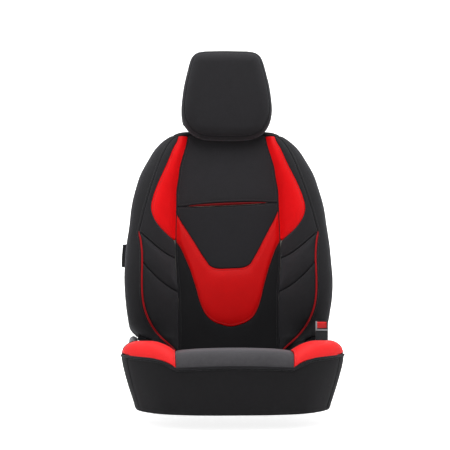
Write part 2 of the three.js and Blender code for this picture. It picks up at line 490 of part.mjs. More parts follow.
// front seam of the backrest, upward along the outer edge of the bolster
const PIPE = [[138, 11], [160, 30], [186, 55], [209, 86], [222, 118], [227.5, 150], [229, 195], [228.5, 254], [232.5, 298.5], [237, 322.5]];
const SHOULDER = [[131.5, 613.5], [136, 592], [145, 572], [154, 546], [164, 519], [174, 494], [184, 469], [193, 444], [200, 420], [204.5, 398], [203.5, 380], [196, 360], [180, 339], [160, 322.5], [148, 314]];
const EDGE = [[237, 322.5], [231, 350], [223, 385], [213, 420], [203, 457], [191, 497], [180, 535], [168, 568], [155, 594], [143, 608], [136.5, 612.3]];
const UPPER_ARC = [[138.5, 261.5], [160, 268], [185, 282], [210, 301], [237, 322.5]];
const LOWER_ARC = [[131.4, 168.5], [154.5, 177.5], [179, 192.5], [205, 215], [228.6, 240]];
const pipeFull = path(PIPE, false);
const pipeBetween = (v0, v1) => { // part of the piping line between two heights, downward
  const pts = [];
  for (let i = 0; i <= 60; i++) { const p = pipeFull(1 - i / 60); if (p[1] <= v0 + 0.01 && p[1] >= v1 - 0.01) pts.push(p); }
  return pts;
};
for (const [side, s] of [['left', -1], ['right', 1]]) {
  const M = (f) => (t) => { const p = f(t); return [s * p[0], p[1]]; };
  const inner = M(valleyPath(1, 613, 314)), outer = M(path(SHOULDER));
  add(`shoulder_panel_${side}`, backPanel(patch(inner, outer, M(path([[106, 613], [131.5, 613.5]], false)), M(path([[139, 314], [148, 314]], false)), 11, 2, 0.9)), 'red', BACK);
  const upIn = M(path([...SHOULDER.slice(0, -1), [148, 313.2], [140.5, 309], [139, 300], [138.5, 261.5]]));
  const upOut = M(path([...EDGE].reverse(), false));
  add(`bolster_upper_${side}`, backPanel(patch(upIn, upOut, M(path([[131.5, 613.5], [136.5, 612.3]], false)), M(path(UPPER_ARC)), 16, 3)), 'black', BACK);
  add(`bolster_mid_${side}`, backPanel(patch(M(path(UPPER_ARC)), M(path(LOWER_ARC)), M(valleyPath(1, 261.5, 168.5)), M(path([[237, 322.5], ...pipeBetween(318, 244), [228.6, 240]], false)), 4, 4, 0.8)), 'black2', BACK);
  add(`bolster_lower_${side}`, backPanel(patch(M(path([[228.6, 240], ...pipeBetween(236, 14), [139.5, 12]], false)), M(valleyPath(1, 168.5, 12)), M(path([...LOWER_ARC].reverse())), M(path([[139.5, 12], [132, 12]], false)), 10, 4, 1.0)), 'black', BACK);
  // piping laid on the seam
  const pp = [];
  for (let i = 0; i <= 14; i++) {
    const [x, v] = pipeFull(i / 14);
    const p = V3(x, backFront(x, v), v).addScaledVector(backNormal(x, v), 3.9);
    pp.push(V3(s * p.x, p.y, p.z));
  }
  add(`piping_${side}`, tube(pp, 2.0, 6), 'piping', BACK);
}
// side gusset: from the front seam round the side to the rear seam
const PAIRS = [[[149, 20.5], [219.6, 51]], [[160, 30], [223.7, 53]], [[186, 55], [234.5, 59]], [[209, 86], [261.3, 84]], [[222, 118], [269.5, 119]], [[227.5, 150], [273.8, 150]], [[229, 195], [275.3, 197]],
  [[228.5, 254], [274.1, 252]], [[232.5, 298.5], [270.4, 299]], [[237, 322.5], [267.8, 322.5]], [[231, 350], [264.6, 350]], [[223, 385], [260.6, 385]],
  [[213, 420], [255.3, 420]], [[203, 457], [247.5, 457]], [[191, 497], [236, 497]], [[180, 535], [219.5, 535]], [[168, 568], [202.3, 568]], [[155, 594], [184, 594]],
  [[143, 608], [163, 614.2]], [[137, 612.2], [152.5, 621.2]]];
const TOP_PAIRS = [[[134.8, 613], [149.6, 622.9]], [[121, 616], [130, 631]], [[106, 618.2], [108, 635.2]], [[78, 619.9], [78, 637.2]], [[60, 620.4], [60, 637.6]], [[44, 620.8], [44, 637.8]], [[0, 621.2], [0, 638]]];
const REAR_IN = 20;
const gusset = (pairs, frontBase, frontSurf, rearBase, rollF, rollR, depthIn, fan = [0, 35, 70]) => {
  const n = pairs.length;
  return pairs.map(([g, o], i) => {
    const a = pairs[Math.max(0, i - 1)][1], b = pairs[Math.min(n - 1, i + 1)][1];
    let nx = -(b[1] - a[1]), nv = b[0] - a[0];
    const l = Math.hypot(nx, nv); nx /= l; nv /= l;
    if (nx * (g[0] - o[0]) + nv * (g[1] - o[1]) < 0) { nx = -nx; nv = -nv; }
    {
      // the outline's own inward normal
      const px = o[0] + nx * 7, pv = o[1] + nv * 7, e = 0.5;
      const gx = backDist(px + e, pv) - backDist(px - e, pv), gv = backDist(px, pv + e) - backDist(px, pv - e);
      const q = Math.hypot(gx, gv); nx = gx / q; nv = gv / q;
    }
    const row = [], norm = [];
    const ds = Math.hypot(g[0] - o[0], g[1] - o[1]);
    const rf = rollF(...o), rr = rollR(...o);
    const phi = Math.acos(clamp(1 - Math.min(ds, rf) / rf, -1, 1));
    const gg = SEAM_GAP / ds;
    for (const k of [0, 1 / 3, 2 / 3]) {
      let lam = ds > rf ? k : 1 - rf * (1 - Math.cos(phi * (1 - k))) / ds;
      if (ds > rf) { const p1 = (1 - k) * Math.PI / 2; lam = 1 - Math.min(1, (rf * (1 - Math.cos(p1)) + (ds - rf) * (k === 0 ? 1 : 0)) / ds); }
      lam = Math.max(gg, lam);
      const x = g[0] + (o[0] - g[0]) * lam, v = g[1] + (o[1] - g[1]) * lam;
      row.push(V3(x, frontSurf(x, v), v));
      norm.push(backNormal(x, v));
    }
    const yf = -(frontBase(...o) - rf), yr = rearBase(...o) - rr;
    row.push(V3(o[0], yf, o[1]));
    row.push(V3(o[0], (yf + yr) / 2, o[1]));
    norm.push(V3(-nx, 0, -nv), V3(-nx, 0, -nv));
    for (const ps of fan) {
      const dd = rr * (1 - Math.cos(ps * D2R));
      const k = Math.min(1, depthIn / (rr * (1 - Math.cos(70 * D2R))));
      row.push(V3(o[0] + nx * dd * k, yr + (rearBase(o[0] + nx * dd * k, o[1] + nv * dd * k) - rearBase(...o)) + rr * Math.sin(ps * D2R), o[1] + nv * dd * k));
      norm.push(V3(-nx * Math.cos(ps * D2R), Math.sin(ps * D2R), -nv * Math.cos(ps * D2R)));
    }
    return [row, row.map((p, j) => p.clone().addScaledVector(norm[j], -COVER))];
  });
};
const smoothPairs = (pairs, n) => {
  const A = path(pairs.map((p) => p[0])), B = path(pairs.map((p) => p[1]));
  // both curves are cut at the same knots
  const cA = new THREE.CatmullRomCurve3(pairs.map((p) => V3(p[0][0], p[0][1], 0)), false, 'centripetal');
  const cB = new THREE.CatmullRomCurve3(pairs.map((p) => V3(p[1][0], p[1][1], 0)), false, 'centripetal');
  return Array.from({ length: n + 1 }, (_, i) => { const a = cA.getPoint(i / n), b = cB.getPoint(i / n); return [[a.x, a.y], [b.x, b.y]]; });
};
for (const [side, s] of [['left', -1], ['right', 1]]) {
  const rows = gusset(smoothPairs(PAIRS, PAIRS.length - 1).map(([g, o]) => [[s * g[0], g[1]], [s * o[0], o[1]]]), backBase, (x, v) => backFront(x, v), backRearBase,
    () => BACK_ROLL, () => BACK_REAR_ROLL, REAR_IN - 2.2);
  add(`side_gusset_${side}`, solidBetween(rows.map((r) => r[0]), rows.map((r) => r[1])), 'black', BACK);
}
{
  const full = [...TOP_PAIRS, ...TOP_PAIRS.slice(0, -1).reverse().map(([g, o]) => [[-g[0], g[1]], [-o[0], o[1]]])];
  const rows = gusset(full, backBase, (x, v) => backFront(x, v), backRearBase, () => BACK_ROLL, () => BACK_REAR_ROLL, REAR_IN - 2.2);
  const g = solidBetween(rows.map((r) => r[0]), rows.map((r) => r[1]));
  add('top_gusset', fromMan(cut(g, rodZ(10.2, -POST_X, POST_Y, 600, 660), rodZ(10.2, POST_X, POST_Y, 600, 660))), 'black', BACK);
}
const insideWidth = (poly, dist, v, off, hi) => {
  let lo = 0, up = hi;
  const ok = (x) => {
    let c = false;
    for (let i = 0, j = poly.length - 1; i < poly.length; j = i++) {
      const [xi, yi] = poly[i], [xj, yj] = poly[j];
      if ((yi > v) !== (yj > v) && x < (xj - xi) * (v - yi) / (yj - yi) + xi) c = !c;
    }
    return c && dist(x, v) >= off;
  };
  for (let k = 0; k < 40; k++) { const m = (lo + up) / 2; ok(m) ? lo = m : up = m; }
  return lo;
};
{
  const vs = [-2, 46, 62, 78, 98, 140, 220, 300, 380, 450, 500, 540, 575, 600, 616.2];
  const rows = vs.map((v) => { const w = insideWidth(backPoly, backDist, v, REAR_IN + 0.9, 290); return [-1, -0.6, -0.2, 0.2, 0.6, 1].map((k) => V3(k * w, backRear(k * w, v), v)); });
  add('rear_panel', solidBetween(rows, rows.map((r) => r.map((p) => V3(p.x, p.y - 3.2, p.z)))), 'black2', BACK);
}
// tag sewn into the side of the backrest
{
  const vs = [249, 265, 281, 297, 312];
  const P = vs.map((v) => [0, 1].map((k) => V3(-(halfW(v) + 0.7 + 11 * k + (k ? 2 * (v - 249) / 63 : 0)), -24, v)));
  add('side_tag', solidBetween(P, P.map((r) => r.map((p) => V3(p.x, p.y + 1.6, p.z)))), 'tag', BACK);
}
// foam of the backrest
{
  const vs = [-10, 0, 22, 60, 110, 150, 190, 240, 300, 380, 450, 520, 570, 600, 618, 629];
  const rows = vs.map((v) => {
    const w = Math.min(valley(v) - 2, insideWidth(backPoly, backDist, v, FOAM_OFF, 290));
    return [-1, -0.6, -0.2, 0.2, 0.6, 1].map((k) => [k * w, v]);
  });
  const g = solidBetween(rows.map((r) => r.map(([x, v]) => V3(x, backFront(x, v, FOAM_OFF), v))), rows.map((r) => r.map(([x, v]) => V3(x, 2, v))));
  add('back_foam_center', fromMan(cut(g, rodZ(GUIDE_R + 0.8, -POST_X, POST_Y, 480, 660, 12), rodZ(GUIDE_R + 0.8, POST_X, POST_Y, 480, 660, 12))), 'foam', BACK);
}
for (const [side, s] of [['left', -1], ['right', 1]]) {
  const vs = [-8, 20, 58, 75, 90, 110, 150, 220, 290, 360, 430, 490, 535, 570, 598];
  const rows = vs.map((v) => {
    const x0 = valley(v) + 2, x1 = Math.min(v < 76 ? 199 : 400, insideWidth(backPoly, backDist, v, FOAM_OFF + (v < 96 ? 5 : 1.2), 290));
    return [0, 0.28, 0.56, 0.82, 0.95, 1].map((k) => [s * (x0 + (x1 - x0) * k), v]);
  });
  add(`back_foam_bolster_${side}`, solidBetween(rows.map((r) => r.map(([x, v]) => V3(x, backFront(x, v, FOAM_OFF) + (v < 62 ? 10.5 : 0), v))), rows.map((r) => r.map(([x, v]) => V3(x, 2, v)))), 'foam', BACK);
}
// steel frame of the backrest
for (const [side, s] of [['left', -1], ['right', 1]]) {
  const p = [[5, 528], [5, 72], [-12, 56]];
  for (let a = 110; a <= 320; a += 30) p.push([27 * Math.cos(a * D2R), 27 * Math.sin(a * D2R)]);
  p.push([36, 10], [36, 528]);
  add(`frame_side_${side}`, plateX(p, s > 0 ? 202.2 : -207.2, s > 0 ? 207.2 : -202.2), 'steel', BACK);
}
add('frame_top', box(-201.9, 201.9, 8, 34, 500, 524), 'steel', BACK);
add('frame_bottom', box(-201.9, 201.9, 8, 30, 20, 44), 'steel', BACK);
// guides for the headrest posts
for (const [side, s] of [['left', -1], ['right', 1]]) {
  const x = s * POST_X;
  let g = join(rodZ(GUIDE_R, x, POST_Y, 506, 642, 16), rodZ(15, x, POST_Y, 638.8, 643.8, 16));
  if (s < 0) {
    g = g.add(toMan(box(x - 23, x, POST_Y - 8, POST_Y + 8, 638.8, 643.8)));
    g = g.subtract(toMan(box(x - 24, x - 12, POST_Y - 5, POST_Y + 5, 640.2, 650)));
  }
  g = g.subtract(toMan(rodZ(GUIDE_BORE, x, POST_Y, 500, 650, 14)));
  add(`headrest_guide_${side}`, fromMan(g), 'plastic', BACK);
}
add('headrest_release_button', box(-POST_X - 25.5, -POST_X - 15.5, POST_Y - 4.6, POST_Y + 4.6, 640.5, 643.8), 'plastic', BACK);

// ================= headrest, in its own frame: x across, y depth, h up =================
const HEAD = BACK.clone().multiply(new THREE.Matrix4().makeTranslation(0, HEAD_Y, HEAD_V)).multiply(new THREE.Matrix4().makeRotationX(HEAD_TILT * D2R));
const HEAD_OUT = [[0, 0], [30, 0.4], [58, 2.5], [80, 9], [96, 19], [106, 30], [114, 43], [119.5, 56], [122.3, 68], [124, 82], [124, 96], [122.4, 114], [120.3, 132],
  [116.8, 154], [112, 176], [106.8, 198], [101, 220], [94, 236], [82, 246.5], [62, 251], [30, 252], [0, 252.2]];
const headPoly = [...HEAD_OUT, ...mirror(HEAD_OUT.slice(1, -1)).reverse()];
const headDist = distanceTo(headPoly);
const headRoll = (x, h) => interp([0, 60, 120], [30, 36, HEAD_ROLL], h);
const headRearRoll = (x, h) => interp([0, 44, 60, 110], [4, 6, 14, 32], h);
const headBase = (x, h) => interp([0, 40, 120, 206, 252], [50, 55, 58, 54, 47], h) - 5 * (x / 124) ** 2;
const headRearBase = (x, h) => interp([0, 10, 20, 30, 40, 46, 50, 56, 64, 130, 206, 252], [-8, -5, 1, 9, 19, 26, 34, 60, 66, 66, 56, 44], h) - (h > 60 ? 4 * (x / 124) ** 2 : 0);
const headFront = (x, h, off = 0) => -(headBase(x, h) - off - rollDrop(headDist(x, h) - off, headRoll(x, h) - off));
const headRear = (x, h, off = 0) => headRearBase(x, h) - off - rollDrop(headDist(x, h) - off, Math.max(0.5, headRearRoll(x, h) - off));
const inHead = (h, off) => insideWidth(headPoly, headDist, h, off, 130);
{
  const spread = [-1, -0.82, -0.4, 0, 0.4, 0.82, 1];
  const hs = [9.4, 16, 28, 55, 95, 140, 188, 218, 234, 241.6];
  const P = hs.map((h) => { const w = inHead(h, HEAD_SEAM + SEAM_GAP + 1.3); return spread.map((k) => V3(k * w, headFront(k * w, h), h)); });
  add('headrest_cover_front', solidBetween(P, thicken(P, V3(0, 10, 120), COVER)), 'black', HEAD);
  const hr = [10, 22, 34, 44, 50, 56, 64, 95, 140, 188, 218, 233, 241.4];
  const Q = hr.map((h) => { const w = inHead(h, HEAD_SEAM + SEAM_GAP + 1.5); return spread.map((k) => V3(k * w, headRear(k * w, h), h)); });
  const rear = solidBetween(Q, thicken(Q, V3(0, -20, 120), 3.4));
  // the posts pass through two eyelets in the underside
  const inv = new THREE.Matrix4().makeRotationX(-HEAD_TILT * D2R).multiply(new THREE.Matrix4().makeTranslation(0, -HEAD_Y, -HEAD_V));
  const holes = [-1, 1].map((s) => rodZ(8, s * POST_X, POST_Y, 600, 700, 10).applyMatrix4(inv));
  add('headrest_cover_rear', fromMan(cut(rear, ...holes)), 'black', HEAD);
  // band between front and rear panels, all the way round
  const ring = [];
  const loop = path([...headPoly, headPoly[0]]);
  const N = 30;
  for (let i = 0; i <= N; i++) ring.push(loop(i / N));
  const rows = ring.map((o, i) => {
    const a = ring[(i - 1 + N) % N], b = ring[(i + 1) % N];
    let nx = -(b[1] - a[1]), nh = b[0] - a[0];
    const l = Math.hypot(nx, nh); nx /= l; nh /= l;
    if (nx * (0 - o[0]) + nh * (120 - o[1]) < 0) { nx = -nx; nh = -nh; }
    const row = [];
    const push = (d, front) => {
      const x = o[0] + nx * d, h = o[1] + nh * d;
      row.push(V3(x, front ? headFront(x, h) : headRear(x, h), h));
    };
    push(HEAD_SEAM - SEAM_GAP, true); push(3.2, true);
    row.push(V3(o[0], -(headBase(...o) - headRoll(...o)), o[1]));
    row.push(V3(o[0], headRearBase(...o) - headRearRoll(...o), o[1]));
    push(3.2, false); push(HEAD_SEAM - SEAM_GAP, false);
    return row;
  });
  rows.pop();
  // two half bands would leave seams at top and bottom, so the band is one closed ring
  const inner = rows.map((r, i) => r.map((p, j) => {
    const a = rows[(i + 1) % N][j].clone().sub(rows[(i - 1 + N) % N][j]);
    const b = r[Math.min(r.length - 1, j + 1)].clone().sub(r[Math.max(0, j - 1)]);
    const n = a.cross(b).normalize();
    if (n.dot(V3(0, 0, 120).sub(p)) < 0) n.negate();
    return p.clone().addScaledVector(n, 3.2);
  }));
  const pos = [], tri = [], nj = rows[0].length;
  for (const G of [rows, inner]) for (const r of G) for (const p of r) pos.push(p.x, p.y, p.z);
  const id = (s, i, j) => s * N * nj + (i % N) * nj + j;
  const quad = (a, b, c, d) => tri.push(a, b, c, a, c, d);
  for (let i = 0; i < N; i++) {
    for (let j = 0; j < nj - 1; j++) {
      quad(id(0, i, j), id(0, i + 1, j), id(0, i + 1, j + 1), id(0, i, j + 1));
      quad(id(1, i, j), id(1, i, j + 1), id(1, i + 1, j + 1), id(1, i + 1, j));
    }
    quad(id(0, i, 0), id(1, i, 0), id(1, i + 1, 0), id(0, i + 1, 0));
    quad(id(0, i, nj - 1), id(0, i + 1, nj - 1), id(1, i + 1, nj - 1), id(1, i, nj - 1));
  }
  let vol = 0;
  const vv = (k) => V3(pos[3 * k], pos[3 * k + 1], pos[3 * k + 2]);
  for (let k = 0; k < tri.length; k += 3) vol += vv(tri[k]).dot(vv(tri[k + 1]).cross(vv(tri[k + 2])));
  if (vol < 0) for (let k = 0; k < tri.length; k += 3) [tri[k + 1], tri[k + 2]] = [tri[k + 2], tri[k + 1]];
  const g = new THREE.BufferGeometry();
  g.setAttribute('position', new THREE.Float32BufferAttribute(pos, 3));
  g.setIndex(tri);
  add('headrest_cover_band', g, 'black2', HEAD);

  // core and the bent rod it is moulded round
  const hc = [9.6, 20, 34, 48, 57, 63, 74, 95, 140, 188, 218, 233, 241.5];
  const off = 8;
  const F = hc.map((h) => { const w = inHead(h, off); return [-1, -0.86, -0.45, 0, 0.45, 0.86, 1].map((k) => [k * w, h]); });
  const core = solidBetween(F.map((r) => r.map(([x, h]) => V3(x, headFront(x, h, off), h))), F.map((r) => r.map(([x, h]) => V3(x, Math.max(Math.min(headRear(x, h, off), headRearBase(x, h - 9) - 8), headFront(x, h, off) + 3), h))));
  const rodPath = (grow) => {
    const line = [V3(-POST_X, POST_Y, 520 - grow), V3(-POST_X, POST_Y, 684), V3(-POST_X + 3, POST_Y - 3, 698), V3(-POST_X + 12, POST_Y - 6, 710), V3(-POST_X + 26, POST_Y - 8, 715),
      V3(POST_X - 26, POST_Y - 8, 715), V3(POST_X - 12, POST_Y - 6, 710), V3(POST_X - 3, POST_Y - 3, 698), V3(POST_X, POST_Y, 684), V3(POST_X, POST_Y, 520 - grow)];
    const n = 12, r = POST_R + grow, P = [], T = [];
    const frames = line.map((p, i) => {
      const t = line[Math.min(line.length - 1, i + 1)].clone().sub(line[Math.max(0, i - 1)]).normalize();
      const side = V3(0, 1, 0).addScaledVector(t, -t.y).normalize();
      return [p, side, t.clone().cross(side)];
    });
    for (const [p, a, b] of frames) for (let k = 0; k < n; k++) { const w = 2 * Math.PI * k / n; const q = p.clone().addScaledVector(a, r * Math.cos(w)).addScaledVector(b, r * Math.sin(w)); P.push(q.x, q.y, q.z); }
    for (let i = 0; i < line.length - 1; i++) for (let k = 0; k < n; k++) { const a = i * n + k, b = i * n + (k + 1) % n; T.push(a, b, b + n, a, b + n, a + n); }
    const c0 = P.length / 3; P.push(line[0].x, line[0].y, line[0].z, line[line.length - 1].x, line[line.length - 1].y, line[line.length - 1].z);
    const e = (line.length - 1) * n;
    for (let k = 0; k < n; k++) { T.push(c0, (k + 1) % n, k); T.push(c0 + 1, e + k, e + (k + 1) % n); }
    let vol2 = 0; const q = (i) => V3(P[3 * i], P[3 * i + 1], P[3 * i + 2]);
    for (let i = 0; i < T.length; i += 3) vol2 += q(T[i]).dot(q(T[i + 1]).cross(q(T[i + 2])));
    if (vol2 < 0) for (let i = 0; i < T.length; i += 3) [T[i + 1], T[i + 2]] = [T[i + 2], T[i + 1]];
    const gg = new THREE.BufferGeometry();
    gg.setAttribute('position', new THREE.Float32BufferAttribute(P, 3));
    gg.setIndex(T);
    return gg;
  };
  add('headrest_rod', rodPath(0), 'chrome', BACK);
  add('headrest_core', fromMan(toMan(core).subtract(toMan(rodPath(0.4).applyMatrix4(inv)))), 'foam', HEAD);
}

export default group;
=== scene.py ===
import bpy
import bmesh
import math
import numpy as np
from mathutils import Matrix, Vector


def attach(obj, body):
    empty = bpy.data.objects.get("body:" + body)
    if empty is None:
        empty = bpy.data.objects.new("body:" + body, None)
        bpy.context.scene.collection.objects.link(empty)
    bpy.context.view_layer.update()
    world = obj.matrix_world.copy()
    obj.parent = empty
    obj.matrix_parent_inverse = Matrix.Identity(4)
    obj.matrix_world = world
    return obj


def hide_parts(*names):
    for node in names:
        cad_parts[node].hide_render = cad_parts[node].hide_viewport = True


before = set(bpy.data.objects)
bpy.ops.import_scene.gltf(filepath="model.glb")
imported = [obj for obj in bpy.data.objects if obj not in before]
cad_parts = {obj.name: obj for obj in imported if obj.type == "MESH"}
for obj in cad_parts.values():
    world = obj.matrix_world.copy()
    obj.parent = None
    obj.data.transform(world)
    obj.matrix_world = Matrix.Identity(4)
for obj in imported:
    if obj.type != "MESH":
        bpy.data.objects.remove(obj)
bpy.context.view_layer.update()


scene = bpy.context.scene
D2R = math.pi / 180

# ------------------------------------------------------------------ shape of the seat, millimetres
RECLINE = 15
HINGE_Y, HINGE_Z = 190, 95
BACK_ROLL, BACK_REAR, BACK_REAR_ROLL = 45, 46, 28
POST_X, POST_Y = 62, -12
HEAD_TILT, HEAD_Y, HEAD_V, HEAD_SEAM = 7, -50, 594, 8
CV = 142.0
GAP = 0.35          # half the gap between two sewn panels


def pchip(xs, ys):
    xs, ys = np.array(xs, float), np.array(ys, float)
    h = np.diff(xs)
    d = np.diff(ys) / h
    m = np.zeros(len(xs))
    for i in range(1, len(xs) - 1):
        if d[i - 1] * d[i] > 0:
            w1, w2 = 2 * h[i] + h[i - 1], h[i] + 2 * h[i - 1]
            m[i] = (w1 + w2) / (w1 / d[i - 1] + w2 / d[i])
    m[0], m[-1] = d[0], d[-1]

    def f(x):
        x = np.clip(np.asarray(x, float), xs[0], xs[-1])
        i = np.clip(np.searchsorted(xs, x) - 1, 0, len(xs) - 2)
        t = (x - xs[i]) / h[i]
        return (ys[i] * (2 * t**3 - 3 * t**2 + 1) + h[i] * m[i] * (t**3 - 2 * t**2 + t)
                + ys[i + 1] * (3 * t**2 - 2 * t**3) + h[i] * m[i + 1] * (t**3 - t**2))
    return f


def catmull(pts, per=14):
    P = np.array(pts, float)
    P = np.vstack([2 * P[0] - P[1], P, 2 * P[-1] - P[-2]])
    out = []
    t = np.linspace(0, 1, per, endpoint=False)[:, None]
    for i in range(1, len(P) - 2):
        p0, p1, p2, p3 = P[i - 1], P[i], P[i + 1], P[i + 2]
        d0, d1, d2 = (max(np.linalg.norm(b - a) ** 0.5, 1e-3) for a, b in ((p0, p1), (p1, p2), (p2, p3)))
        m1 = ((p1 - p0) / d0 - (p2 - p0) / (d0 + d1) + (p2 - p1) / d1) * d1
        m2 = ((p2 - p1) / d1 - (p3 - p1) / (d1 + d2) + (p3 - p2) / d2) * d1
        out.append(p1 * (2 * t**3 - 3 * t**2 + 1) + m1 * (t**3 - 2 * t**2 + t) + p2 * (3 * t**2 - 2 * t**3) + m2 * (t**3 - t**2))
    out.append(P[-2][None])
    return np.vstack(out)


class Path:
    def __init__(self, pts, smooth=True):
        self.p = catmull(pts) if smooth and len(pts) > 2 else np.array(pts, float)
        self.s = np.concatenate([[0], np.cumsum(np.linalg.norm(np.diff(self.p, axis=0), axis=1))])
        self.total = self.s[-1]

    def __call__(self, t):
        t = np.clip(np.asarray(t, float), 0, 1) * self.total
        return np.stack([np.interp(t, self.s, self.p[:, k]) for k in range(self.p.shape[1])], -1)


def mirror(pts):
    return [(-x, v) for x, v in pts]


def closed(half):
    """A closed smooth outline from its right half."""
    p = catmull(half, 8)
    return np.vstack([p, (p[1:-1] * [-1, 1])[::-1]])


def dist_fn(poly):
    a, b = poly, np.roll(poly, -1, 0)
    ab = b - a
    L = np.maximum((ab * ab).sum(1), 1e-9)

    def f(x, v):
        x, v = np.broadcast_arrays(np.asarray(x, float), np.asarray(v, float))
        q = np.stack([x.ravel(), v.ravel()], -1)
        out = np.empty(len(q))
        for k in range(0, len(q), 4000):
            p = q[k:k + 4000, None]
            t = np.clip(((p - a) * ab).sum(-1) / L, 0, 1)
            out[k:k + 4000] = np.sqrt(((p - a - ab * t[..., None]) ** 2).sum(-1)).min(1)
        return out.reshape(x.shape)
    return f


def inside_fn(poly):
    a, b = poly, np.roll(poly, -1, 0)

    def f(x, v):
        x, v = np.broadcast_arrays(np.asarray(x, float), np.asarray(v, float))
        q, w = x.ravel()[:, None], v.ravel()[:, None]
        c = (a[:, 1] > w) != (b[:, 1] > w)
        dv = np.where(np.abs(b[:, 1] - a[:, 1]) < 1e-9, 1e-9, b[:, 1] - a[:, 1])
        hit = c & (q < (b[:, 0] - a[:, 0]) * (w - a[:, 1]) / dv + a[:, 0])
        return (hit.sum(1) % 2 == 1).reshape(x.shape)
    return f


def roll_drop(d, r):
    d = np.maximum(d, 0)
    return np.where(d >= r, 0.0, r - np.sqrt(np.maximum(0, r * r - np.maximum(r - d, 0) ** 2)))


# backrest
OUTLINE = [(0, -22), (70, -22), (140, -22), (180, -17), (196, -2), (200, 25), (205, 44), (230, 56), (247, 67.5), (261, 83), (267, 104),
           (270.5, 125), (273.8, 150), (275.3, 200), (274.2, 250), (270.3, 300), (264.6, 350), (258.8, 400), (249.3, 450), (235, 500), (212.5, 550),
           (197, 577), (184, 594), (173.5, 605), (160, 616.5), (150, 622.5), (137, 628.5), (120, 633.5), (95, 636.5), (60, 637.5), (0, 638)]
back_poly = closed(OUTLINE)
back_dist, back_in = dist_fn(back_poly), inside_fn(back_poly)
half_w = pchip([p[1] for p in OUTLINE[4:]], [p[0] for p in OUTLINE[4:]])
valley = pchip([-22, 16, 95, 160, 215, 262, 309, 400, 448, 472, 495, 518, 541, 564, 587, 613, 638],
               [132, 132, 131, 131, 135, 138.5, 139, 137.5, 137, 134, 130.5, 128, 122.5, 116, 110, 106, 104])
c_of = pchip([-22, 50, 110, 150, 190, 230, 290, 350, 450, 550, 638], [60, 67, 73, 76, 77, 75.5, 71, 66, 58, 52, 48])
p_of = pchip([-22, 40, 70, 100, 130, 160, 200, 250, 340, 420, 470, 500, 530, 560, 590, 610, 638],
             [4, 16, 27, 40, 48, 54, 57, 58, 57.5, 54, 48, 42, 34, 25, 16, 11, 6])


def back_base(x, v):
    ax, xs = np.abs(x), valley(v)
    crest = np.maximum(half_w(v) * 0.86, xs + 45)
    return c_of(v) + 7 * np.clip(1 - (ax / xs) ** 2, 0, 1) + p_of(v) * np.sin(np.pi / 2 * np.clip((ax - xs) / (crest - xs), 0, 1))


def back_front(x, v):
    return -(back_base(x, v) - roll_drop(back_dist(x, v), BACK_ROLL))


def rear_base(x, v):
    return BACK_REAR + 5 * np.clip(1 - (np.asarray(x) / 200.0) ** 2, 0, 1)


def back_rear(x, v):
    return rear_base(x, v) - roll_drop(back_dist(x, v), BACK_REAR_ROLL)


# cushion
PLAN = [(0, -262), (60, -261.5), (110, -258), (151, -250), (189, -236), (222, -214), (249, -186), (266, -158), (274.5, -128), (276, -95),
        (275, -50), (268, -5), (253, 14), (232, 28), (213, 42), (208, 60), (207, 90), (202, 108), (188, 116), (120, 116), (0, 116)]
plan_poly = closed(PLAN)
plan_dist, plan_in = dist_fn(plan_poly), inside_fn(plan_poly)
tc_of = pchip([-262, -215, -150, -60, 40, 116], [152, 154, 152, 142, 126, 112])
pc_of = pchip([-262, -150, -60, 20, 70, 116], [20, 22, 24, 21, 12, 4])


def cushion_roll(y):
    return np.interp(y, [40, 116], [38, 14])


def cushion_base(x, y):
    ax = np.abs(x)
    return tc_of(y) + 5 * np.clip(1 - (ax / CV) ** 2, 0, 1) + pc_of(y) * np.sin(np.pi / 2 * np.clip((ax - CV) / 62, 0, 1))


def cushion_top(x, y):
    return cushion_base(x, y) - roll_drop(plan_dist(x, y), cushion_roll(y))


def skirt_point(x, y, z):
    k = np.clip((139 - z) / 133, 0, 1) ** 1.25 * np.clip((24 - y) / 24, 0, 1)
    front = np.clip((-y - 100) / 160, 0, 1)
    return np.stack(np.broadcast_arrays(x * (1 - 0.136 * k), y + 12 * k * front, z), -1)


# headrest
HEAD_OUT = [(0, 0), (30, 0.4), (58, 2.5), (80, 9), (96, 19), (106, 30), (114, 43), (119.5, 56), (122.3, 68), (124, 82), (124, 96), (122.4, 114), (120.3, 132),
            (116.8, 154), (112, 176), (106.8, 198), (101, 220), (94, 236), (82, 246.5), (62, 251), (30, 252), (0, 252.2)]
head_poly = closed(HEAD_OUT)
head_dist = dist_fn(head_poly)
head_roll = lambda h: np.interp(h, [0, 60, 120], [30, 36, 38])
head_rear_roll = lambda h: np.interp(h, [0, 44, 60, 110], [4, 6, 14, 32])
hb_of = pchip([0, 40, 120, 206, 252], [50, 55, 58, 54, 47])
hr_of = pchip([0, 10, 20, 30, 40, 46, 50, 56, 64, 130, 206, 252], [-8, -5, 1, 9, 19, 26, 34, 60, 66, 66, 56, 44])
head_base = lambda x, h: hb_of(h) - 5 * (x / 124) ** 2
head_rear_base = lambda x, h: hr_of(h) - 4 * (x / 124) ** 2 * np.clip((h - 56) / 8, 0, 1)
head_front = lambda x, h: -(head_base(x, h) - roll_drop(head_dist(x, h), head_roll(h)))
head_rear = lambda x, h: head_rear_base(x, h) - roll_drop(head_dist(x, h), head_rear_roll(h))

# frames of the bodies, in millimetres
BACK = Matrix.Translation((0, HINGE_Y, HINGE_Z)) @ Matrix.Rotation(-RECLINE * D2R, 4, "X")
HEAD = BACK @ Matrix.Translation((0, HEAD_Y, HEAD_V)) @ Matrix.Rotation(HEAD_TILT * D2R, 4, "X")
IDENT = Matrix.Identity(4)


def place(P, M):
    A = np.array(M)
    return (P @ A[:3, :3].T + A[:3, 3]) * 0.001


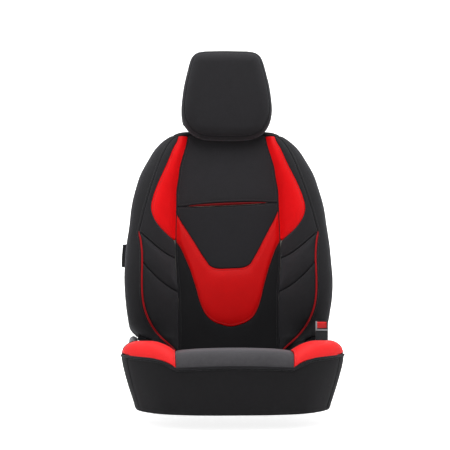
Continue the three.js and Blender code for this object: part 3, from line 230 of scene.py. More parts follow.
# ------------------------------------------------------------------ node materials
def material(name):
    m = bpy.data.materials.new(name)
    m.use_nodes = True
    t = m.node_tree
    return m, t, t.nodes["Principled BSDF"]


def node(t, kind, **kw):
    n = t.nodes.new(kind)
    for k, v in kw.items():
        if k in n.inputs:
            n.inputs[k].default_value = v
        else:
            setattr(n, k, v)
    return n


def math_node(t, op, a, b=None, clamp=False):
    n = t.nodes.new("ShaderNodeMath")
    n.operation = op
    n.use_clamp = clamp
    for i, s in enumerate((a, b)):
        if s is None:
            continue
        if hasattr(s, "links"):
            t.links.new(s, n.inputs[i])
        else:
            n.inputs[i].default_value = s
    return n.outputs[0]


def ramp(t, fac, stops):
    n = t.nodes.new("ShaderNodeValToRGB")
    el = n.color_ramp.elements
    while len(el) < len(stops):
        el.new(0.5)
    for e, (pos, col) in zip(el, stops):
        e.position = pos
        e.color = (*col, 1) if len(col) == 3 else col
    t.links.new(fac, n.inputs[0])
    return n.outputs[0]


def mix(t, fac, a, b, mode="MIX"):
    n = t.nodes.new("ShaderNodeMix")
    n.data_type = "RGBA"
    n.blend_type = mode
    for i, s in ((0, fac), (6, a), (7, b)):
        if hasattr(s, "links"):
            t.links.new(s, n.inputs[i])
        elif i == 0:
            n.inputs[0].default_value = s
        else:
            n.inputs[i].default_value = (*s, 1)
    return n.outputs[2]


def bump(t, bsdf, height, strength, distance, prev=None):
    n = t.nodes.new("ShaderNodeBump")
    n.inputs["Strength"].default_value = strength
    n.inputs["Distance"].default_value = distance
    t.links.new(height, n.inputs["Height"])
    if prev is not None:
        t.links.new(prev, n.inputs["Normal"])
    t.links.new(n.outputs[0], bsdf.inputs["Normal"])
    return n.outputs[0]


def noise(t, coord, scale, detail=3, rough=0.55, dist=0.0):
    n = t.nodes.new("ShaderNodeTexNoise")
    n.inputs["Scale"].default_value = scale
    n.inputs["Detail"].default_value = detail
    n.inputs["Roughness"].default_value = rough
    n.inputs["Distortion"].default_value = dist
    t.links.new(coord, n.inputs["Vector"])
    return n.outputs[0]


def coords(t):
    n = t.nodes.new("ShaderNodeTexCoord")
    return n.outputs["UV"], n.outputs["Object"]


def wave(t, coord, pitch, axis, dist=0.0, kind="SIN"):
    n = t.nodes.new("ShaderNodeTexWave")
    n.wave_type = "BANDS"
    n.bands_direction = axis
    n.wave_profile = kind
    n.inputs["Scale"].default_value = 0.31416 / pitch
    n.inputs["Distortion"].default_value = dist
    n.inputs["Detail"].default_value = 1
    n.inputs["Detail Scale"].default_value = 1.2
    t.links.new(coord, n.inputs["Vector"])
    return n.outputs["Fac"]


def cloth_material(name, dark, light, pitch=0.0017, weave="plain", sheen=0.18, rough=(0.78, 0.95), tint=(0.6, 0.6, 0.66)):
    m, t, b = material(name)
    uv, ob = coords(t)
    wx, wy = wave(t, uv, pitch, "X", 0.3), wave(t, uv, pitch * 0.82, "Y", 0.3)
    if weave == "plain":
        h = math_node(t, "MULTIPLY", wx, wy)
        h = math_node(t, "ADD", h, math_node(t, "MULTIPLY", math_node(t, "SUBTRACT", 1.0, wx), math_node(t, "SUBTRACT", 1.0, wy)))
    else:
        v = t.nodes.new("ShaderNodeTexVoronoi")
        v.voronoi_dimensions = "2D"
        v.feature = "F1"
        v.inputs["Scale"].default_value = 1 / pitch
        v.inputs["Randomness"].default_value = 0.18
        t.links.new(uv, v.inputs["Vector"])
        h = math_node(t, "MULTIPLY", v.outputs["Distance"], 1.9, True)
        h = math_node(t, "POWER", h, 0.7)
    fine = noise(t, ob, 900, 2)
    broad = noise(t, ob, 14, 4)
    mid = noise(t, ob, 130, 3)
    f = math_node(t, "ADD", math_node(t, "MULTIPLY", h, 0.45), math_node(t, "MULTIPLY", broad, 0.35))
    f = math_node(t, "ADD", f, math_node(t, "MULTIPLY", mid, 0.22), True)
    col = ramp(t, f, [(0.18, dark), (0.85, light)])
    t.links.new(col, b.inputs["Base Color"])
    r = t.nodes.new("ShaderNodeMapRange")
    r.inputs["To Min"].default_value, r.inputs["To Max"].default_value = rough
    t.links.new(broad, r.inputs["Value"])
    t.links.new(r.outputs[0], b.inputs["Roughness"])
    b.inputs["Specular IOR Level"].default_value = 0.28
    b.inputs["Sheen Weight"].default_value = sheen
    b.inputs["Sheen Roughness"].default_value = 0.45
    b.inputs["Sheen Tint"].default_value = (*tint, 1)
    n1 = bump(t, b, mid, 0.12, 0.0012)
    n2 = bump(t, b, h, 0.55, 0.0004, n1)
    bump(t, b, fine, 0.25, 0.00025, n2)
    return m


def leather_material(name, base, deep, grain=0.0013, rough=(0.44, 0.58), coat=0.0):
    m, t, b = material(name)
    uv, ob = coords(t)
    wob = t.nodes.new("ShaderNodeTexNoise")
    wob.inputs["Scale"].default_value = 420
    t.links.new(ob, wob.inputs["Vector"])
    add = t.nodes.new("ShaderNodeVectorMath")
    add.operation = "MULTIPLY_ADD"
    t.links.new(wob.outputs["Color"], add.inputs[0])
    add.inputs[1].default_value = (0.0011, 0.0011, 0.0011)
    t.links.new(ob, add.inputs[2])
    v = t.nodes.new("ShaderNodeTexVoronoi")
    v.feature = "DISTANCE_TO_EDGE"
    v.inputs["Scale"].default_value = 1 / grain
    t.links.new(add.outputs[0], v.inputs["Vector"])
    cell = math_node(t, "MULTIPLY", v.outputs["Distance"], 5.0, True)
    broad, mid = noise(t, ob, 9, 4), noise(t, ob, 75, 4)
    f = math_node(t, "ADD", math_node(t, "MULTIPLY", broad, 0.55), math_node(t, "MULTIPLY", cell, 0.3))
    f = math_node(t, "ADD", f, math_node(t, "MULTIPLY", mid, 0.15), True)
    t.links.new(ramp(t, f, [(0.12, deep), (0.78, base)]), b.inputs["Base Color"])
    r = t.nodes.new("ShaderNodeMapRange")
    r.inputs["To Min"].default_value, r.inputs["To Max"].default_value = rough
    t.links.new(mid, r.inputs["Value"])
    t.links.new(r.outputs[0], b.inputs["Roughness"])
    b.inputs["Specular IOR Level"].default_value = 0.10
    b.inputs["Coat Weight"].default_value = coat
    b.inputs["Coat Roughness"].default_value = 0.4
    n1 = bump(t, b, mid, 0.10, 0.0015)
    bump(t, b, cell, 0.30, 0.0003, n1)
    return m


def thread_material(name, col):
    m, t, b = material(name)
    uv, ob = coords(t)
    n = noise(t, ob, 1500, 2)
    t.links.new(ramp(t, n, [(0.3, tuple(c * 0.6 for c in col)), (0.7, col)]), b.inputs["Base Color"])
    b.inputs["Roughness"].default_value = 0.6
    b.inputs["Sheen Weight"].default_value = 0.2
    bump(t, b, n, 0.3, 0.0002)
    return m


def metal_material(name, col, rough=(0.25, 0.45), stretch=(1, 1, 18), metallic=1.0, scuff=0.3):
    m, t, b = material(name)
    uv, ob = coords(t)
    mp = t.nodes.new("ShaderNodeMapping")
    mp.inputs["Scale"].default_value = stretch
    t.links.new(ob, mp.inputs["Vector"])
    n, broad = noise(t, mp.outputs[0], 160, 4), noise(t, ob, 22, 5)
    c = ramp(t, math_node(t, "ADD", math_node(t, "MULTIPLY", n, 0.5), math_node(t, "MULTIPLY", broad, 0.5)),
             [(0.3, tuple(x * (1 - scuff) for x in col)), (0.7, col)])
    t.links.new(c, b.inputs["Base Color"])
    b.inputs["Metallic"].default_value = metallic
    r = t.nodes.new("ShaderNodeMapRange")
    r.inputs["To Min"].default_value, r.inputs["To Max"].default_value = rough
    t.links.new(n, r.inputs["Value"])
    t.links.new(r.outputs[0], b.inputs["Roughness"])
    bump(t, b, n, 0.08, 0.0004)
    return m


def plastic_material(name, col, rough=(0.4, 0.55), grain=1400, strength=0.25, coat=0.0):
    m, t, b = material(name)
    uv, ob = coords(t)
    v = t.nodes.new("ShaderNodeTexVoronoi")
    v.inputs["Scale"].default_value = grain
    t.links.new(ob, v.inputs["Vector"])
    broad = noise(t, ob, 30, 4)
    c = ramp(t, math_node(t, "ADD", math_node(t, "MULTIPLY", broad, 0.7), math_node(t, "MULTIPLY", v.outputs["Distance"], 0.3)),
             [(0.25, tuple(x * 0.78 for x in col)), (0.75, col)])
    t.links.new(c, b.inputs["Base Color"])
    r = t.nodes.new("ShaderNodeMapRange")
    r.inputs["To Min"].default_value, r.inputs["To Max"].default_value = rough
    t.links.new(broad, r.inputs["Value"])
    t.links.new(r.outputs[0], b.inputs["Roughness"])
    b.inputs["Coat Weight"].default_value = coat
    bump(t, b, v.outputs["Distance"], strength, 0.0002)
    return m


def foam_material(name, col):
    m, t, b = material(name)
    uv, ob = coords(t)
    v = t.nodes.new("ShaderNodeTexVoronoi")
    v.inputs["Scale"].default_value = 700
    t.links.new(ob, v.inputs["Vector"])
    broad = noise(t, ob, 18, 5)
    c = ramp(t, math_node(t, "ADD", math_node(t, "MULTIPLY", broad, 0.6), math_node(t, "MULTIPLY", v.outputs["Distance"], 0.5)),
             [(0.2, tuple(x * 0.6 for x in col)), (0.8, col)])
    t.links.new(c, b.inputs["Base Color"])
    b.inputs["Roughness"].default_value = 0.95
    bump(t, b, v.outputs["Distance"], 0.6, 0.0008)
    return m


MATS = {
    "black": cloth_material("cloth_black", (0.0055, 0.0053, 0.0062), (0.021, 0.020, 0.023)),
    "black_side": cloth_material("cloth_black_side", (0.0050, 0.0049, 0.0056), (0.018, 0.0175, 0.020), pitch=0.0019),
    "black_soft": cloth_material("cloth_black_bolster", (0.0062, 0.0060, 0.0070), (0.023, 0.022, 0.0255), pitch=0.0015),
    "mesh": cloth_material("spacer_mesh", (0.0030, 0.0029, 0.0036), (0.0145, 0.0140, 0.0170), pitch=0.0026, weave="mesh", sheen=0.12),
    # painted shade: the lumbar panel gets a darker, less sheeny copy of the spacer mesh, for the shade low on the back
    "mesh_low_painted_shade": cloth_material("spacer_mesh_low_painted_shade", (0.0012, 0.0012, 0.0016), (0.0050, 0.0048, 0.0062), pitch=0.0026, weave="mesh", sheen=0.02),
    # painted shade: the skirts get a darker copy of the black cloth, for the shade under the cushion's front roll
    "black_low_painted_shade": cloth_material("cloth_black_skirt_painted_shade", (0.0036, 0.0034, 0.0040), (0.0140, 0.0132, 0.0150), sheen=0.08),
    # painted highlight: the seat centre gets a much lighter copy of the spacer mesh, for the top light falling on it
    "mesh_seat_painted_highlight": cloth_material("spacer_mesh_seat_painted_highlight", (0.016, 0.0155, 0.0170), (0.075, 0.072, 0.078), pitch=0.0026, weave="mesh", sheen=0.4),
    "red": leather_material("leatherette_red", (0.62, 0.001, 0.002), (0.44, 0.0006, 0.001)),
    # painted highlight: the shoulder panels get a lighter copy of the red leatherette, for the top light on the upper
    # back
    "red_upper_painted_highlight": leather_material("leatherette_red_upper_painted_highlight", (0.84, 0.004, 0.007), (0.62, 0.001, 0.002)),
    # painted highlight: the cushion corners get a much lighter, pinker copy of the red leatherette, for the bright top
    # light on them
    "red_seat_painted_highlight": leather_material("leatherette_red_seat_painted_highlight", (0.95, 0.030, 0.032), (0.84, 0.018, 0.02)),
    "piping": leather_material("piping_red", (0.40, 0.008, 0.012), (0.20, 0.002, 0.004), grain=0.0008),
    "trim": leather_material("slit_trim_red", (0.17, 0.002, 0.004), (0.07, 0.001, 0.001), grain=0.0008),
    "cord_black": cloth_material("piping_black", (0.004, 0.004, 0.005), (0.018, 0.017, 0.02), pitch=0.0011),
    "thread": thread_material("thread_black", (0.018, 0.017, 0.019)),
    "thread_red": thread_material("thread_red", (0.28, 0.006, 0.008)),
    "tag": cloth_material("woven_tag", (0.006, 0.006, 0.007), (0.03, 0.03, 0.032), pitch=0.0008),
    "rail": metal_material("rail_zinc", (0.47, 0.48, 0.50), stretch=(1, 0.06, 1)),
    "steel": metal_material("frame_black_coat", (0.035, 0.035, 0.038), rough=(0.35, 0.5), metallic=0.4, stretch=(1, 1, 1)),
    "chrome": metal_material("post_chrome", (0.76, 0.77, 0.79), rough=(0.06, 0.14), scuff=0.06, stretch=(1, 1, 0.2)),
    "plastic": plastic_material("plastic_black", (0.022, 0.022, 0.024)),
    "buckle": plastic_material("buckle_black", (0.028, 0.028, 0.031), rough=(0.32, 0.45)),
    "buckle_trim": plastic_material("buckle_grey", (0.42, 0.42, 0.44), rough=(0.3, 0.42)),
    "button": plastic_material("button_red", (0.92, 0.006, 0.008), rough=(0.25, 0.35), coat=0.3, strength=0.08),
    "wheel": plastic_material("wheel_grey", (0.36, 0.36, 0.38), rough=(0.35, 0.5), strength=0.15),
    "foam": foam_material("seat_foam", (0.34, 0.32, 0.27)),
}

# ------------------------------------------------------------------ building sewn panels
rng = np.random.RandomState(7)
WAVES = [(rng.uniform(0, 2 * np.pi), rng.uniform(0, 2 * np.pi), 2 * np.pi / rng.uniform(38, 110)) for _ in range(9)]
STITCH = {}


def ripple(a, b):
    out = np.zeros_like(a)
    for ang, ph, k in WAVES:
        out += np.sin(k * (a * np.cos(ang) + b * np.sin(ang)) + ph)
    return out / len(WAVES)


def steps(total, step=4.2, ends=(True, True), fine=(0, 0.5, 1.3, 2.4, 3.8, 5.6, 8.0)):
    """Places along an edge, closer together near a seam."""
    lo = [f for f in fine if f < total * 0.45] if ends[0] else [0]
    hi = [total - f for f in fine if f < total * 0.45] if ends[1] else [total]
    a, b = lo[-1], min(hi)
    n = max(1, int(round((b - a) / step)))
    return np.array(sorted(set(lo + list(np.linspace(a, b, n + 1)) + hi))) / total


def make_mesh(name, verts, faces, mat, uvs=None, sharp=48):
    me = bpy.data.meshes.new(name)
    me.from_pydata([tuple(v) for v in verts], [], [tuple(f) for f in faces])
    me.validate()
    me.update()
    o = bpy.data.objects.new(name, me)
    scene.collection.objects.link(o)
    me.materials.append(MATS[mat])
    if uvs is not None:
        lay = me.uv_layers.new(name="UVMap")
        idx = np.empty(len(me.loops), np.int32)
        me.loops.foreach_get("vertex_index", idx)
        lay.data.foreach_set("uv", np.asarray(uvs, np.float32)[idx].ravel())
    me.polygons.foreach_set("use_smooth", np.ones(len(me.polygons), bool))
    me.set_sharp_from_angle(angle=math.radians(sharp))
    return o


def recalc(o, merge=0.0):
    bm = bmesh.new()
    bm.from_mesh(o.data)
    if merge:
        bmesh.ops.remove_doubles(bm, verts=bm.verts, dist=merge)
    bmesh.ops.recalc_face_normals(bm, faces=bm.faces)
    bm.to_mesh(o.data)
    bm.free()


def panel(name, P, outward, M, mat, body, nodes, seams=(1, 1, 1, 1), stitch=(0, 0, 0, 0), roll=3.4, dip=1.4, crown=1.0, reach=24,
          t=5.0, wrinkle=0.35, pucker=0.22, thread="thread", loop_i=False, drop_faces=None, hem=None, cap_j=False):
    """A sewn panel over the grid of points P (ni, nj, 3), millimetres. seams says which of its edges (i first, i last, j first, j last) are sewn down.
    stitch gives the distance of a topstitch line from each of those edges, 0 for none."""
    ni, nj = P.shape[:2]
    if loop_i:
        Pe = np.concatenate([P[-2:-1], P, P[1:2]])
        gi = np.gradient(Pe, axis=0)[1:-1]
    else:
        gi = np.gradient(P, axis=0)
    gj = np.gradient(P, axis=1)
    n = np.cross(gi, gj)
    L = np.linalg.norm(n, axis=2, keepdims=True)
    n = n / np.maximum(L, 1e-9)
    out = outward(P) if callable(outward) else np.broadcast_to(np.array(outward, float), P.shape)
    if (n * out).sum(2).mean() < 0:
        n = -n
    li = np.concatenate([np.zeros((1, nj)), np.cumsum(np.linalg.norm(np.diff(P, axis=0), axis=2), axis=0)])
    lj = np.concatenate([np.zeros((ni, 1)), np.cumsum(np.linalg.norm(np.diff(P, axis=1), axis=2), axis=1)], axis=1)
    dist = [li, li[-1:] - li, lj, lj[:, -1:] - lj]
    along = [lj, lj, li, li]
    tau = 1.6
    acc = np.zeros((ni, nj))
    for k in range(4):
        if seams[k]:
            acc += np.exp(-np.minimum(dist[k], 200) / tau)
    s = np.clip(-tau * np.log(np.maximum(acc, 1e-30)), 0, 200) if any(seams) else np.full((ni, nj), 200.0)
    d = -roll_drop(s, roll) - dip * np.exp(-s / 9.0) + crown * (1 - np.exp(-(s / reach) ** 2))
    for k in range(4):
        if seams[k]:
            a = along[k]
            d += pucker * np.exp(-dist[k] / 8.0) * np.sin(a * 2 * np.pi / 13.0 + 1.7 * np.sin(a / 41.0 + k)) * np.clip(s / 2.0, 0, 1)
        if stitch[k]:
            d -= 0.75 * np.exp(-((dist[k] - stitch[k]) / 1.15) ** 2)
    d += wrinkle * ripple(P[..., 0] + 0.35 * P[..., 1], P[..., 2] + 0.2 * P[..., 1]) * np.clip(s / 14, 0, 1)
    if hem is not None:      # the last j edge is a folded hem
        e = dist[3]
        d += np.where(e < hem, 0.7 * np.sqrt(np.clip(1 - ((e - hem / 2) / (hem / 2)) ** 2, 0, 1)), 0)
        d -= 0.6 * np.exp(-((e - hem - 0.8) / 0.9) ** 2)
    T = P + n * d[..., None]
    B = P - n * t
    # the seam allowance runs on under the neighbouring panel
    lap = 1.5
    unit = lambda q: q / np.maximum(np.linalg.norm(q, axis=-1, keepdims=True), 1e-9)
    if seams[0] and not loop_i:
        B[0] += unit(P[0] - P[1]) * lap
    if seams[1] and not loop_i:
        B[-1] += unit(P[-1] - P[-2]) * lap
    if seams[2]:
        B[:, 0] += unit(P[:, 0] - P[:, 1]) * lap
    if seams[3]:
        B[:, -1] += unit(P[:, -1] - P[:, -2]) * lap
    # rim goes straight down in the seams
    uv = np.stack([li.mean(1)[:, None] + 0 * lj, lj], -1) * 0.001
    uv[..., 0] = (li * 0.5 + li.mean(1)[:, None] * 0.5) * 0.001
    nv = ni * nj
    ii, jj = np.meshgrid(np.arange(ni - 1), np.arange(nj - 1), indexing="ij")
    a0, a1, a2, a3 = ii * nj + jj, (ii + 1) * nj + jj, (ii + 1) * nj + jj + 1, ii * nj + jj + 1
    keep = np.ones(a0.shape, bool)
    if drop_faces is not None:
        c = (P[:-1, :-1] + P[1:, :-1] + P[1:, 1:] + P[:-1, 1:]) / 4
        keep = ~drop_faces(c)
    q = np.stack([a0, a1, a2, a3], -1)[keep]
    faces = [q, q[:, ::-1] + nv]
    rim = []
    if not loop_i:
        j = np.arange(nj - 1)
        rim.append(np.stack([j, j + 1, j + 1 + nv, j + nv], -1))
        k = (ni - 1) * nj + j
        rim.append(np.stack([k, k + nv, k + 1 + nv, k + 1], -1))
    i = np.arange(ni - 1)
    k = i * nj
    rim.append(np.stack([k, k + nv, k + nj + nv, k + nj], -1))
    k = i * nj + nj - 1
    caps = []
    if cap_j:
        loop = [int(x) for x in k]
        caps = [loop, [x + nv for x in loop][::-1]]
    else:
        rim.append(np.stack([k, k + nj, k + nj + nv, k + nv], -1))
    if drop_faces is not None and not keep.all():
        held_edges = {}
        for f in q:
            for x, y in zip(f, np.roll(f, -1)):
                held_edges[(int(x), int(y))] = 1
        hole = []
        for f in np.stack([a0, a1, a2, a3], -1)[~keep]:
            for x, y in zip(f, np.roll(f, -1)):
                if (int(y), int(x)) in held_edges:
                    hole.append((y, x, x + nv, y + nv))
        if hole:
            rim.append(np.array(hole))
    faces = [tuple(int(x) for x in f) for f in np.concatenate(faces + rim)] + [tuple(c) for c in caps]
    V = place(np.concatenate([T.reshape(-1, 3), B.reshape(-1, 3)]), M)
    o = make_mesh(name, V, faces, mat, np.concatenate([uv.reshape(-1, 2)] * 2))
    recalc(o, 2e-5 if loop_i else 0.0)
    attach(o, body)
    if nodes:
        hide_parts(*([nodes] if isinstance(nodes, str) else nodes))
    # flat cut, from the panel's own lengths
    A = float(np.linalg.norm(np.cross(P[1:, :-1] - P[:-1, :-1], P[:-1, 1:] - P[:-1, :-1]), axis=2).sum())
    w, l = float(li[-1].mean()), float(lj[:, -1].mean())
    if A > w * l:
        w = A / l
    if A < 0.31 * w * l:
        w = A / l / 0.31
    # topstitching: threads on the surface
    for k in range(4):
        if stitch[k]:
            if k < 2:
                line = np.array([[np.interp(stitch[k], dist[k][::(1 if k == 0 else -1), j], (T[..., c] + n[..., c] * 0.1)[::(1 if k == 0 else -1), j]) for c in range(3)] for j in range(nj)])
                nn = n[min(3, ni - 1) if k == 0 else max(ni - 4, 0)]
            else:
                line = np.array([[np.interp(stitch[k], dist[k][i, ::(1 if k == 2 else -1)], (T[..., c] + n[..., c] * 0.1)[i, ::(1 if k == 2 else -1)]) for c in range(3)] for i in range(ni)])
                nn = n[:, min(3, nj - 1)] if k == 2 else n[:, max(nj - 4, 0)]
            total = np.linalg.norm(np.diff(line, axis=0), axis=1).sum()
            if total > 12:
                STITCH.setdefault((body, thread), []).append((line, nn, M))
    return o


def sew():
    """All threads of one body and colour in one piece."""
    for (body, thread), lines in STITCH.items():
        V, F, k0 = [], [], 0
        for line, nn, M in lines:
            s = np.concatenate([[0], np.cumsum(np.linalg.norm(np.diff(line, axis=0), axis=1))])
            total = s[-1]
            at = lambda q: np.stack([np.interp(q, s, line[:, c]) for c in range(3)], -1)
            nt = lambda q: np.stack([np.interp(q, s, nn[:, c]) for c in range(3)], -1)
            pitch, ln, r = 4.4, 3.3, 0.42
            cnt = int((total - 6) / pitch)
            if cnt < 1:
                continue
            q = 3 + np.arange(cnt) * pitch
            a, b, m = at(q), at(q + ln), at(q + ln / 2)
            up = nt(q + ln / 2)
            up /= np.linalg.norm(up, axis=1, keepdims=True)
            di = (b - a) / np.maximum(np.linalg.norm(b - a, axis=1, keepdims=True), 1e-6)
            sd = np.cross(di, up)
            up = np.cross(sd, di)
            rings = []
            for c, rr, lift in ((a, 0.35, -0.15), (a * 0.72 + b * 0.28, 1.0, 0.12), (a * 0.28 + b * 0.72, 1.0, 0.12), (b, 0.35, -0.15)):
                ring = [c + up * (lift + r * rr * math.sin(w)) + sd * (r * rr * math.cos(w)) for w in np.arange(5) * 2 * np.pi / 5]
                rings.append(np.stack(ring, 1))
            R = np.stack(rings, 1)            # cnt, 4, 5, 3
            pts = place(R.reshape(-1, 3), M)
            V.append(pts)
            base = k0 + np.arange(cnt)[:, None] * 20
            for e in range(3):
                for w in range(5):
                    f = np.array([e * 5 + w, e * 5 + (w + 1) % 5, (e + 1) * 5 + (w + 1) % 5, (e + 1) * 5 + w])
                    F.append(base + f)
            k0 += len(pts)
        if V:
            o = make_mesh(f"stitching_{body}_{thread}", np.concatenate(V), np.concatenate(F), thread, sharp=80)
            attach(o, body)


def tube(name, pts, radius, mat, body, M, nodes=(), sides=12, taper=0, flat=1.0, step=3.0, ref=(0, -1, 0)):
    """A round cord along points, millimetres. taper is the length over which both ends narrow."""
    c = Path(pts, True)
    n = max(8, int(c.total / step))
    p = c(np.linspace(0, 1, n))
    tg = np.gradient(p, axis=0)
    tg /= np.linalg.norm(tg, axis=1, keepdims=True)
    up = np.array(ref, float)[None] - (tg * np.array(ref, float)).sum(1, keepdims=True) * tg
    up /= np.linalg.norm(up, axis=1, keepdims=True)
    sd = np.cross(tg, up)
    along = np.linspace(0, c.total, n)
    rr = np.full(n, float(radius)) if np.isscalar(radius) else radius(np.linspace(0, 1, n))
    if taper:
        rr = rr * np.clip(np.minimum(along, c.total - along) / taper, 0.15, 1) ** 0.6
    w = np.arange(sides) * 2 * np.pi / sides
    R = p[:, None] + rr[:, None, None] * (np.cos(w)[None, :, None] * sd[:, None] + flat * np.sin(w)[None, :, None] * up[:, None])
    V = np.concatenate([R.reshape(-1, 3), p[:1], p[-1:]])
    F = []
    for i in range(n - 1):
        for k in range(sides):
            F.append((i * sides + k, i * sides + (k + 1) % sides, (i + 1) * sides + (k + 1) % sides, (i + 1) * sides + k))
    caps = [(n * sides, (k + 1) % sides, k) for k in range(sides)] + [(n * sides + 1, (n - 1) * sides + k, (n - 1) * sides + (k + 1) % sides) for k in range(sides)]
    uv = np.concatenate([np.stack([np.repeat(along, sides), np.tile(w * 2.0, n)], -1), [[0, 0], [c.total, 0]]]) * 0.001
    o = make_mesh(name, place(V, M), F + caps, mat, uv, sharp=70)
    recalc(o)
    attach(o, body)
    if nodes:
        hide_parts(*([nodes] if isinstance(nodes, str) else nodes))
    return o


def coons(a, b, e0, e1, step=4.2, gap=GAP, ends=(True, True, True, True)):
    """A four-sided patch between two long curves and two ends, in the plane, as (ni, nj, 2) points."""
    La = max(a.total, b.total)
    Lb = max(np.linalg.norm(b(0.5) - a(0.5)), e0.total, e1.total)
    u = steps(La, step, ends[:2])
    v = steps(Lb, step, ends[2:])

    def at(u, v):
        A, B, E, R = a(u), b(u), e0(v), e1(v)
        U, W = np.asarray(u)[..., None], np.asarray(v)[..., None]
        return ((1 - W) * A + W * B + (1 - U) * E + U * R
                - ((1 - U) * (1 - W) * a(0) + U * (1 - W) * a(1) + (1 - U) * W * b(0) + U * W * b(1)))
    U, W = np.meshgrid(u, v, indexing="ij")
    wid = np.linalg.norm(at(u, np.ones_like(u)) - at(u, np.zeros_like(u)), axis=1)[:, None]
    g = gap / np.maximum(wid, 4 * gap)
    W = g + W * (1 - 2 * g)
    gu = gap / La
    U = gu + U * (1 - 2 * gu)
    return at(U, W)


def on_front(G):
    return np.stack([G[..., 0], back_front(G[..., 0], G[..., 1]), G[..., 1]], -1)


def around(center):
    c = np.array(center, float)
    return lambda P: P - c


FWD = (0, -1, 0)


def vpath(s, v0, v1):
    vs = np.linspace(v0, v1, 40)
    return Path(np.stack([s * valley(vs), vs], -1), False)


SLIT_L, SLIT_R = 407, 420
slit_v = lambda x: SLIT_L + (SLIT_R - SLIT_L) * (x + 137.5) / 275
slit_half = lambda x: 5.2 * np.maximum(0, 1 - (x / 128) ** 2)
SX = np.array([-137.5, -128, -96, -64, -32, 0, 32, 64, 96, 128, 137.5])
slit_path = lambda sg: Path([(x, slit_v(x) + sg * slit_half(x)) for x in SX])
V_IN = [(137, 391.5), (126, 369), (113, 346), (100.5, 323.3), (88, 300.6), (76, 278), (62.5, 255.5), (53, 241.5), (36, 233.5), (0, 232)]
V_OUT = [(138, 309), (126.8, 290), (117.6, 267.5), (109, 245), (101.5, 222.7), (95, 200), (89, 179), (82.5, 152), (73.5, 125.5), (62.5, 105.5), (47, 91), (22, 80.5), (0, 76.5)]


def both(pts, sk=0):
    return [(x + 5 * (1 - min(1, (x / 137) ** 2)), v + sk * 5.5 * x / 138) for x, v in mirror(pts) + pts[:-1][::-1]]


v_inner, v_outer = Path(both(V_IN, 1)), Path(both(V_OUT))
top_seam = Path([(-106, 617), (-60, 619), (0, 620), (60, 619), (106, 617)])
j_in, j_out = (v_inner(0)[1], v_inner(1)[1]), (v_outer(0)[1], v_outer(1)[1])

panel("cover_center_upper", on_front(coons(top_seam, slit_path(1), vpath(-1, 617, SLIT_L), vpath(1, 617, SLIT_R))), FWD, BACK, "black_soft", "backrest",
      "back_center_upper", stitch=(5, 5, 0, 5))
panel("cover_center_insert", on_front(coons(slit_path(-1), v_inner, vpath(-1, SLIT_L, j_in[0]), vpath(1, SLIT_R, j_in[1]))), FWD, BACK, "mesh", "backrest",
      "back_center_insert", stitch=(5, 5, 4.5, 0), crown=0.6)
panel("cover_v_panel", on_front(coons(v_inner, v_outer, vpath(-1, j_in[0], j_out[0]), vpath(1, j_in[1], j_out[1]))), FWD, BACK, "red", "backrest",
      "back_v_panel", stitch=(0, 0, 4.5, 4.5), roll=2.0, dip=0.5, crown=3.2, reach=16, thread="thread_red", wrinkle=0.5, pucker=0.3)
# the lumbar panel uses the darker spacer mesh copy, which is painted shade
panel("cover_lumbar", on_front(coons(v_outer, Path([(-132, -8), (0, -8), (132, -8)], False), vpath(-1, j_out[0], -8), vpath(1, j_out[1], -8))), FWD, BACK, "mesh_low_painted_shade",
      "backrest", "back_lumbar_panel", stitch=(5, 5, 0, 0), crown=0.6)

# folded seam allowance in the two long seams of the back
for side, s in (("left", -1), ("right", 1)):
    vs = np.linspace(612, 10, 120)
    x = valley(vs)
    tube(f"seam_welt_{side}", np.stack([s * x, back_front(x, vs) + 3.4, vs], -1), 1.9, "cord_black", "backrest", BACK, taper=6, step=5)

# rolled trim in the chest slit
xs = np.linspace(-104, 104, 27)
tube("slit_trim", np.stack([xs, back_front(xs, slit_v(xs)) + 1.0, slit_v(xs)], -1),
     lambda u: 0.7 + 3.0 * np.clip(1 - (2 * u - 1) ** 2, 0, 1) ** 0.6, "trim", "backrest", BACK, "chest_slit_trim")

PIPE = [(138, 11), (160, 30), (186, 55), (209, 86), (222, 118), (227.5, 150), (229, 195), (228.5, 254), (232.5, 298.5), (237, 322.5)]
SHOULDER = [(131.5, 613.5), (136, 592), (145, 572), (154, 546), (164, 519), (174, 494), (184, 469), (193, 444), (200, 420), (204.5, 398), (203.5, 380), (196, 360), (180, 339), (160, 322.5), (148, 314)]
EDGE = [(237, 322.5), (231, 350), (223, 385), (213, 420), (203, 457), (191, 497), (180, 535), (168, 568), (155, 594), (143, 608), (136.5, 612.3)]
UPPER_ARC = [(138.5, 261.5), (160, 268), (185, 282), (210, 301), (237, 322.5)]
LOWER_ARC = [(131.4, 168.5), (154.5, 177.5), (179, 192.5), (205, 215), (228.6, 240)]
front_seam = Path(PIPE + EDGE[1:])       # one smooth line up the outer edge of the bolster
pipe_end = front_seam.s[np.argmin(np.linalg.norm(front_seam.p - np.array([237, 322.5]), axis=1))] / front_seam.total


def seam_between(v0, v1):
    """The outer seam between two heights, in that direction."""
    t = np.linspace(0, 1, 700)
    p = front_seam(t)
    keep = p[(p[:, 1] >= min(v0, v1)) & (p[:, 1] <= max(v0, v1))]
    return keep if v1 > v0 else keep[::-1]


